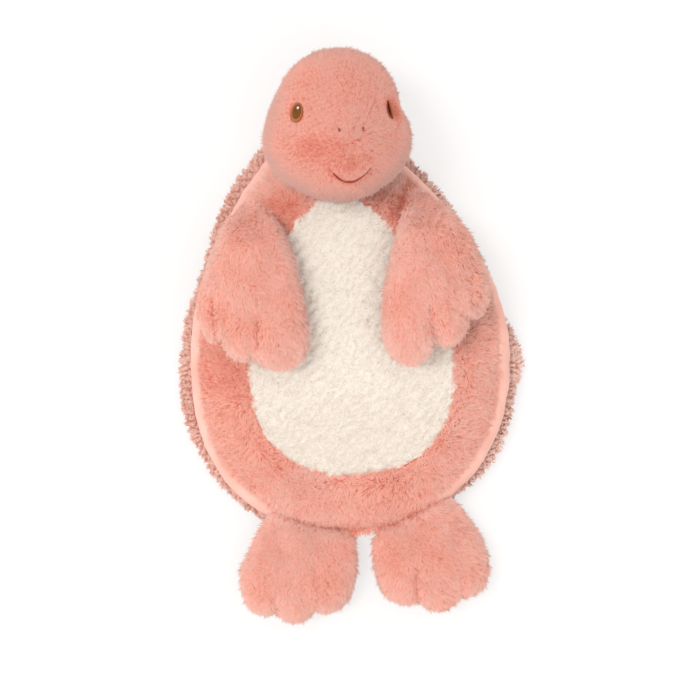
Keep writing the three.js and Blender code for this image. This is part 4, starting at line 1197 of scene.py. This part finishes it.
def closed_curve(corners, count):
    """count points evenly along the closed curve through the corners. Between two corners it is a
    cubic whose slopes come from its neighbours, weighted by the square roots of the distances."""
    before, after = np.roll(corners, 1, axis=0), np.roll(corners, -1, axis=0)
    beyond = np.roll(corners, -2, axis=0)
    d0, d1, d2 = (np.linalg.norm(b - a, axis=1, keepdims=True) ** 0.5
                  for a, b in ((before, corners), (corners, after), (after, beyond)))
    slope_a = d1 * ((corners - before) / d0 - (after - before) / (d0 + d1) + (after - corners) / d1)
    slope_b = d1 * ((after - corners) / d1 - (beyond - corners) / (d1 + d2) + (beyond - after) / d2)
    t = np.linspace(0, 1, 24, endpoint=False)[None, :, None]
    fine = (2 * t ** 3 - 3 * t ** 2 + 1) * corners[:, None]
    fine += (3 * t ** 2 - 2 * t ** 3) * after[:, None]
    fine += (t ** 3 - 2 * t ** 2 + t) * slope_a[:, None] + (t ** 3 - t ** 2) * slope_b[:, None]
    fine = fine.reshape(-1, corners.shape[1])
    fine = np.concatenate([fine, fine[:1]])
    run = np.concatenate([[0], np.cumsum(np.linalg.norm(np.diff(fine, axis=0), axis=1))])
    even = np.linspace(0, run[-1], count, endpoint=False)
    return np.stack([np.interp(even, run, column) for column in fine.T], axis=1)


def pillow(limb, inset, rows=LIMB_ROWS, columns=LIMB_COLUMNS, spread=1.0):
    """Upper and lower panels of a limb, as the plan and the two heights of grids from the middle
    to the side seam. The height over the seam falls with a high power of the share of the way to
    the edge, so the edge is blunt, and a groove runs along each toe stitch."""
    edge = closed_curve(limb["outline"], columns)
    beside = np.roll(edge, -1, axis=0)
    if np.sum(edge[:, 0] * beside[:, 1] - edge[:, 1] * beside[:, 0]) < 0:
        edge = edge[::-1]
    share = (1 - (1 - np.linspace(0.004, 1, rows)) ** 1.7)[:, None, None]
    away = edge - limb["middle"]
    reach = np.linalg.norm(away, axis=1, keepdims=True)
    plan = limb["middle"] + share * (away * (spread * reach - inset) / reach)[None]
    plan = plan.reshape(-1, 2)
    full = limb["fullness"](plan)
    seam = limb["seam"](plan)
    swell = np.repeat(np.sqrt(1 - share.ravel() ** PAD_POWER), columns)
    groove = TOE_GROOVE["depth"] * close_to(to_lines(plan, limb["toes"]), TOE_GROOVE["width"])
    top = seam + swell * np.maximum(limb["up"] * full - inset - groove * full, 0)
    low = seam - swell * np.maximum(limb["down"] * full - inset, LIMB_THINNEST)
    return plan, np.maximum(top, inset), np.maximum(low, inset)


def limb_frame(limb, place):
    """A limb with its outline, its middle and its toe stitches set out in plan by place."""
    limb["outline"] = place(np.array(limb["outline"], float))
    limb["middle"] = place(np.array([limb["middle"]], float))[0]
    limb["toes"] = [place(np.array(toe, float)) for toe in limb["toes"]]
    return limb


def foreleg(side, name):
    """Sizes and places of one foreleg. Its side seam follows the belly and then a wider dome.
    Its entry bend gives a length from the shoulder on, but nothing bends the pieces there."""
    swing = np.radians(FORELEG_SWING[name])
    along = SHOULDER_UP / BODY["up"]
    half = BODY["half_width"] * np.sqrt(1 - along ** 2) * (1 - TAPER_SHARE * along ** TAPER_POWER)
    shoulder = np.array([lean_at(SHOULDER_UP) + side * (half - SHOULDER_INSET), SHOULDER_UP])

    def place(shares):
        """Shares set out in plan from the shoulder, with a bulge below it, and swung out."""
        down = shares[:, 0] * FORELEG["length"]
        out = (shares[:, 1] - SHOULDER_ACROSS_SHARE) * FORELEG["width"]
        wider = FORELEG_WIDER[name]
        out = out + wider * (out * wider > 0) * close_to(shares[:, 0] - 0.28, 0.22)
        x = shoulder[0] + side * (out * np.cos(swing) - down * np.sin(swing))
        return np.stack([x, shoulder[1] - down * np.cos(swing) - out * np.sin(swing)], axis=1)

    def clear(plan):
        """0 at the shoulder and 1 clear of the root."""
        return smooth_share(np.linalg.norm(plan - shoulder, axis=1), 0, FORELEG["root"])

    def fullness(plan):
        """Share of the full thickness, which is small at the shoulder."""
        return FORELEG["root_share"] + (1 - FORELEG["root_share"]) * clear(plan)

    def seam(plan):
        """Height of the side seam: the lower panel's thickness over the dome under it."""
        belly = dome(*plan.T)
        over = dome(*plan.T, size=inset_of(BODY, -FORELEG_OVERHANG)) - belly
        return belly + SEAT_GAP + over * clear(plan) + FORELEG["down"] * fullness(plan)

    start = np.array([*shoulder, FORELEG_BEND["height"]])
    end = start + FORELEG_BEND["length"] * np.array([-side * np.sin(swing), -np.cos(swing), 0])
    limb = {**FORELEG, "name": "foreleg_" + name, "middle": FORELEG_MIDDLE,
            "outline": FORELEG_EDGE["outer"] + FORELEG_EDGE[name] + FORELEG_EDGE["inner"],
            "toes": FORELEG_TOES[name], "fullness": fullness, "seam": seam, "source": shoulder,
            "nap_from": shoulder + [0, 25],
            "bend": ("torso", "foreleg_" + name, Vector(start * MM), Vector(end * MM))}
    return limb_frame(limb, place)


def to_edge(places, limb):
    """Distance in plan from each place to the nearest point of a limb's outline."""
    edge = closed_curve(limb["outline"], 90)
    return np.min(np.linalg.norm(places[:, None, :2] - edge[None], axis=2), axis=1)


def limb_rise(limb, rows=14, columns=70):
    """How a cloth simulation moves the upper and the lower panel of a limb, sewn together round
    the edge and down to the toe stitches, as two coarse grids."""
    plan, top, low = pillow(limb, LIMB_INSET + LIMB_SLACK, rows, columns)
    upper = np.column_stack([plan, top]).reshape(rows, columns, 3)
    lower = np.column_stack([plan, low]).reshape(rows, columns, 3)
    closed = np.concatenate([upper, lower[-2::-1]])
    held = np.zeros(closed.shape[:2], bool)
    held[rows - 1] = True
    held[:rows] |= to_lines(plan, limb["toes"]).reshape(rows, columns) < 2.2
    held |= np.linalg.norm(closed[..., :2] - limb["source"], axis=-1) < limb["root"] / 2
    move = puffed(closed, np.concatenate([held.ravel(), [False, False]]), LIMB_SWELL)
    move[:2], move[-2:] = move[2].mean(axis=0), move[-3].mean(axis=0)
    return move[:rows], move[rows - 1:][::-1]


def make_toe_threads(limb, cloth):
    """The threads between the toes. Each follows the mean height of the four nearest points of
    the upper panel, smoothed over five places."""
    for index, (start, stop) in enumerate(limb["toes"], 1):
        line = start + (stop - start) * np.linspace(0, 0.97, 24)[:, None]
        near = [np.argsort(np.linalg.norm(cloth[:, :2] - place, axis=1))[:4] for place in line]
        height = np.array([cloth[points, 2].mean() for points in near])
        height = np.convolve(np.pad(height, 2, mode="edge"), np.ones(5) / 5, mode="valid")
        thread = tube(np.column_stack([line, height + TOE_THREAD_ON_CLOTH]), THREAD_RADIUS)
        make_piece(f"{limb['name']}_toe_thread_{index}", skin(*thread), coral_thread, limb["name"],
                   [f"{limb['name']}_toe_stitch_{index}"])


def make_limb(limb, count, seed):
    """The upper and the lower panel of a limb, with their pile, and the threads between its toes.
    The upper pile is long, but short at the toe stitches and at the root. All pile is painted pale
    along the side seam, as the sheen of pile seen side-on, and a little paler at the ends of the
    toes. The upper pile is painted darker as shade along the toe grooves, and all pile in the
    crease where a foot is sewn on. The lower pile is short and paler."""
    rng = np.random.default_rng(seed)
    rises = limb_rise(limb)
    plan, top, low = pillow(limb, LIMB_INSET + LIMB_SLACK)
    for over, heights, rise in zip((True, False), (top, low), rises):
        cloth = np.column_stack([plan, heights])
        cloth += finer(rise, LIMB_ROWS, LIMB_COLUMNS).reshape(-1, 3)
        cloth[:, 2] += 0.55 * waves(cloth, 26, seed + 1)[:, 0] * (1 if over else 0.3)
        cloth[:, 2] = np.maximum(cloth[:, 2], LIMB_LOWEST)
        faces = grid_faces(LIMB_ROWS, LIMB_COLUMNS, turned=not over)
        roots, facing = scatter(cloth, faces, int(count * UPPER_SHARE[over]), rng)
        nap = np.column_stack([unit(roots[:, :2] - limb["nap_from"]), np.zeros(len(roots))])
        nap += 0.24 * waves(roots, 30, seed + 2) * [1, 1, 0.2]
        away = np.linalg.norm(roots[:, :2] - limb["source"], axis=1)
        inside, to_toes = to_edge(roots, limb), to_lines(roots, limb["toes"])
        # Painted sheen: paler along the side seam; also a little paler at the toe ends
        shading_and_wear = 0.28 * (1 - smooth_share(inside, 0, 14)) + 0.08 * smooth_share(away, 95, 125)
        if over:
            lengths = 7.0 - 3.6 * close_to(to_toes, 1.4)
            lengths *= 0.6 + 0.4 * smooth_share(away, 4, 26)
            lengths *= 0.78 + 0.22 * smooth_share(inside, 0, 9)
            # Painted shade along the toe grooves
            shading_and_wear -= close_to(to_toes, 1.2)
        else:
            lengths = 2.4 + 2.1 * smooth_share(inside, 3, 12)
            shading_and_wear += 0.2
        # Painted shade in the crease where a foot is sewn to the body
        if "crease" in limb:
            shading_and_wear -= 0.7 * close_to(to_lines(roots, [limb["crease"]]), 1.6)
        strands = pile(roots, facing, nap, lengths, rng, **LIMB_PILE, painted_shading_and_wear=shading_and_wear)
        strands[0][:, 2] = np.maximum(strands[0][:, 2], LIMB_PILE_LOWEST)
        name = f"{limb['name']}_{'top' if over else 'under'}"
        cover = closed_middle(cloth, faces, LIMB_COLUMNS, turned=not over)
        make_plush(name, skin(*cover), strands, coral_plush, limb["bend"], [name])
        if over:
            make_toe_threads(limb, cloth)


limbs = [foreleg(1, "left"), foreleg(-1, "right")]
for limb, seed in zip(limbs, (50, 60)):
    make_limb(limb, FORELEG_STRANDS, seed)


# Hind legs
# Two broad feet with three toes, made like the forelegs and sewn into the side seam at the feet
# end. They lie flat on the table.

HINDLEG = {"width": 87.2, "reach": 66.0, "up": 16.0, "down": 12.5, "root": 40.0,
           "root_share": 0.62}
HINDLEG_STRANDS = 38000
HINDLEG_LONGER = {"left": -1.5, "right": 1.5}
HINDLEG_APART = 5.2
HINDLEG_SIDE = 2.7
HINDLEG_RISE_SHARE = 0.35
HINDLEG_SEAM = 12.0
# The outline, as shares of the reach down from the body and of the width outwards
HINDLEG_ROOT = {
    "left": [[0.108, 0.935], [-0.036, 0.877], [-0.177, 0.807], [-0.29, 0.739], [-0.335, 0.67],
             [-0.325, 0.6], [-0.224, 0.428], [-0.076, 0.197], [-0.015, 0.06]],
    "right": [[0.15, 0.925], [0.023, 0.876], [-0.1, 0.82], [-0.227, 0.758], [-0.295, 0.69],
              [-0.212, 0.553], [-0.127, 0.366], [-0.045, 0.156], [0.02, 0.02]]}
HINDLEG_INNER = [
    [0.15, 0.0], [0.4, 0], [0.61, 0.03], [0.79, 0.095], [0.885, 0.21], [0.9, 0.3], [0.885, 0.375],
    [0.965, 0.465], [1, 0.57], [0.955, 0.66]]
HINDLEG_OUTER = {
    "left": [[0.865, 0.75], [0.83, 0.85], [0.74, 0.945], [0.57, 1], [0.38, 1.0]],
    "right": [[0.875, 0.75], [0.885, 0.845], [0.81, 0.945], [0.62, 1.01], [0.38, 1.01]]}
HINDLEG_TOES = {"left": [[[0.45, 0.37], [0.8, 0.373]], [[0.56, 0.73], [0.78, 0.74]]],
                "right": [[[0.35, 0.366], [0.8, 0.366]], [[0.62, 0.715], [0.8, 0.72]]]}
HINDLEG_MIDDLE = [0.45, 0.5]
HINDLEG_SOURCE = {"across": 30.0, "along": -95.0}
HINDLEG_BEND = {"across": 40.0, "start": -115.0, "end": -131.0, "height": 15.0}


def hindleg(side, name):
    """Sizes and places of one foot. It is thin where it is sewn to the body; its entry bend gives
    a length there, but nothing bends the pieces.
    """
    def place(shares):
        """Shares set out in plan from the body's lower end."""
        x = HINDLEG_SIDE + side * (HINDLEG_APART + shares[:, 1] * HINDLEG["width"])
        reach = HINDLEG["reach"] + HINDLEG_LONGER[name]
        return np.stack([x, -BODY["down"] - shares[:, 0] * reach], axis=1)

    def fullness(plan):
        """Share of the full thickness, which grows away from the body."""
        away = (egg_share(BODY, *plan.T) - 1) * BODY["down"]
        full = smooth_share(away, 0, HINDLEG["root"])
        return HINDLEG["root_share"] + (1 - HINDLEG["root_share"]) * full

    source = np.array([HINDLEG_SIDE + side * HINDLEG_SOURCE["across"], HINDLEG_SOURCE["along"]])
    start, end = (Vector((side * HINDLEG_BEND["across"] * MM, HINDLEG_BEND[place] * MM,
                          HINDLEG_BEND["height"] * MM)) for place in ("start", "end"))
    limb = {**HINDLEG, "name": "hindleg_" + name, "middle": HINDLEG_MIDDLE,
            "outline": HINDLEG_ROOT[name] + HINDLEG_INNER + HINDLEG_OUTER[name],
            "toes": HINDLEG_TOES[name], "fullness": fullness, "crease": HINDLEG_SEAM_LINE[name],
            "seam": lambda plan: HINDLEG_SEAM + HINDLEG_RISE_SHARE * (dome(*plan.T) - RIM_HEIGHT),
            "source": source, "nap_from": source,
            "bend": ("torso", "hindleg_" + name, start, end)}
    return limb_frame(limb, place)


limbs += [hindleg(1, "left"), hindleg(-1, "right")]
for limb, seed in zip(limbs[2:], (70, 80)):
    make_limb(limb, HINDLEG_STRANDS, seed)


# Filling
# Crimped polyester fibre inside the head, the limbs and the body, in one soft lump for each. It
# isn't seen, because the covers are sewn shut round it.

FILLING_INSET = 8.0
LIMB_WAD = {"rows": 12, "columns": 60, "spread": 0.87}
HEAD_WAD_INSET = 10.0
HEAD_WAD_ROWS, HEAD_WAD_COLUMNS = 30, 60
BODY_WAD = {"half_width": 100.0, "up": 106.0, "down": 104.0}
BODY_WAD_ROWS, BODY_WAD_COLUMNS = 14, 90
BODY_WAD_FALL = 7.0
BODY_WAD_FOOT = 6.0


def make_wad(name, rings, columns, body, node, turned=False):
    """A closed lump from rings of points, each end closed on its middle."""
    faces = capped_faces(len(rings) // columns, columns, turned)
    piece = make_piece(name, skin(capped(rings, columns), faces), white_fibre, body,
                       [node])


# Loose white fibre: its crimp breaks the light up, so that it looks soft and quite matt. The
# crimp is drawn 2.5 mm coarse, because real fibres are too fine to show.
white_fibre = fibrous("white polyester fibre", "d9d6d0", "f6f5f1", 2.5, 4.0, (0.0, 1.0),
                      {"Strength": 0.6, "Distance": 1.2 * MM},
                      {"Roughness": 1.0, "Specular IOR Level": 0.1})
for limb in limbs:
    plan, top, low = pillow(limb, FILLING_INSET, **LIMB_WAD)
    columns = LIMB_WAD["columns"]
    lower = np.column_stack([plan, low]).reshape(-1, columns, 3)[-2::-1].reshape(-1, 3)
    make_wad(limb["name"] + "_fibre", np.concatenate([np.column_stack([plan, top]), lower]),
             columns, limb["name"], limb["name"] + "_filling")

ball = head_surface(ball_directions(HEAD_WAD_ROWS, HEAD_WAD_COLUMNS), HEAD_WAD_INSET)
make_wad("head_fibre", head_place(ball), HEAD_WAD_COLUMNS, "head", "head_filling", turned=True)

shares = np.sin(np.linspace(0.05, np.pi / 2, BODY_WAD_ROWS))[:, None]
x, y = egg(BODY_WAD, around(BODY_WAD_COLUMNS), shares)
edge = np.minimum(egg_share(BODY_WAD, x, y), 1) ** 4
upper = np.stack([x, y, dome(x, y, FILLING_INSET) - BODY_WAD_FALL * edge], axis=-1)
lower = np.stack([x, y, BODY_WAD_FOOT + 2 * edge], axis=-1)
make_wad("body_fibre", np.concatenate([upper, lower[::-1]]).reshape(-1, 3), BODY_WAD_COLUMNS,
         "torso", "body_filling")
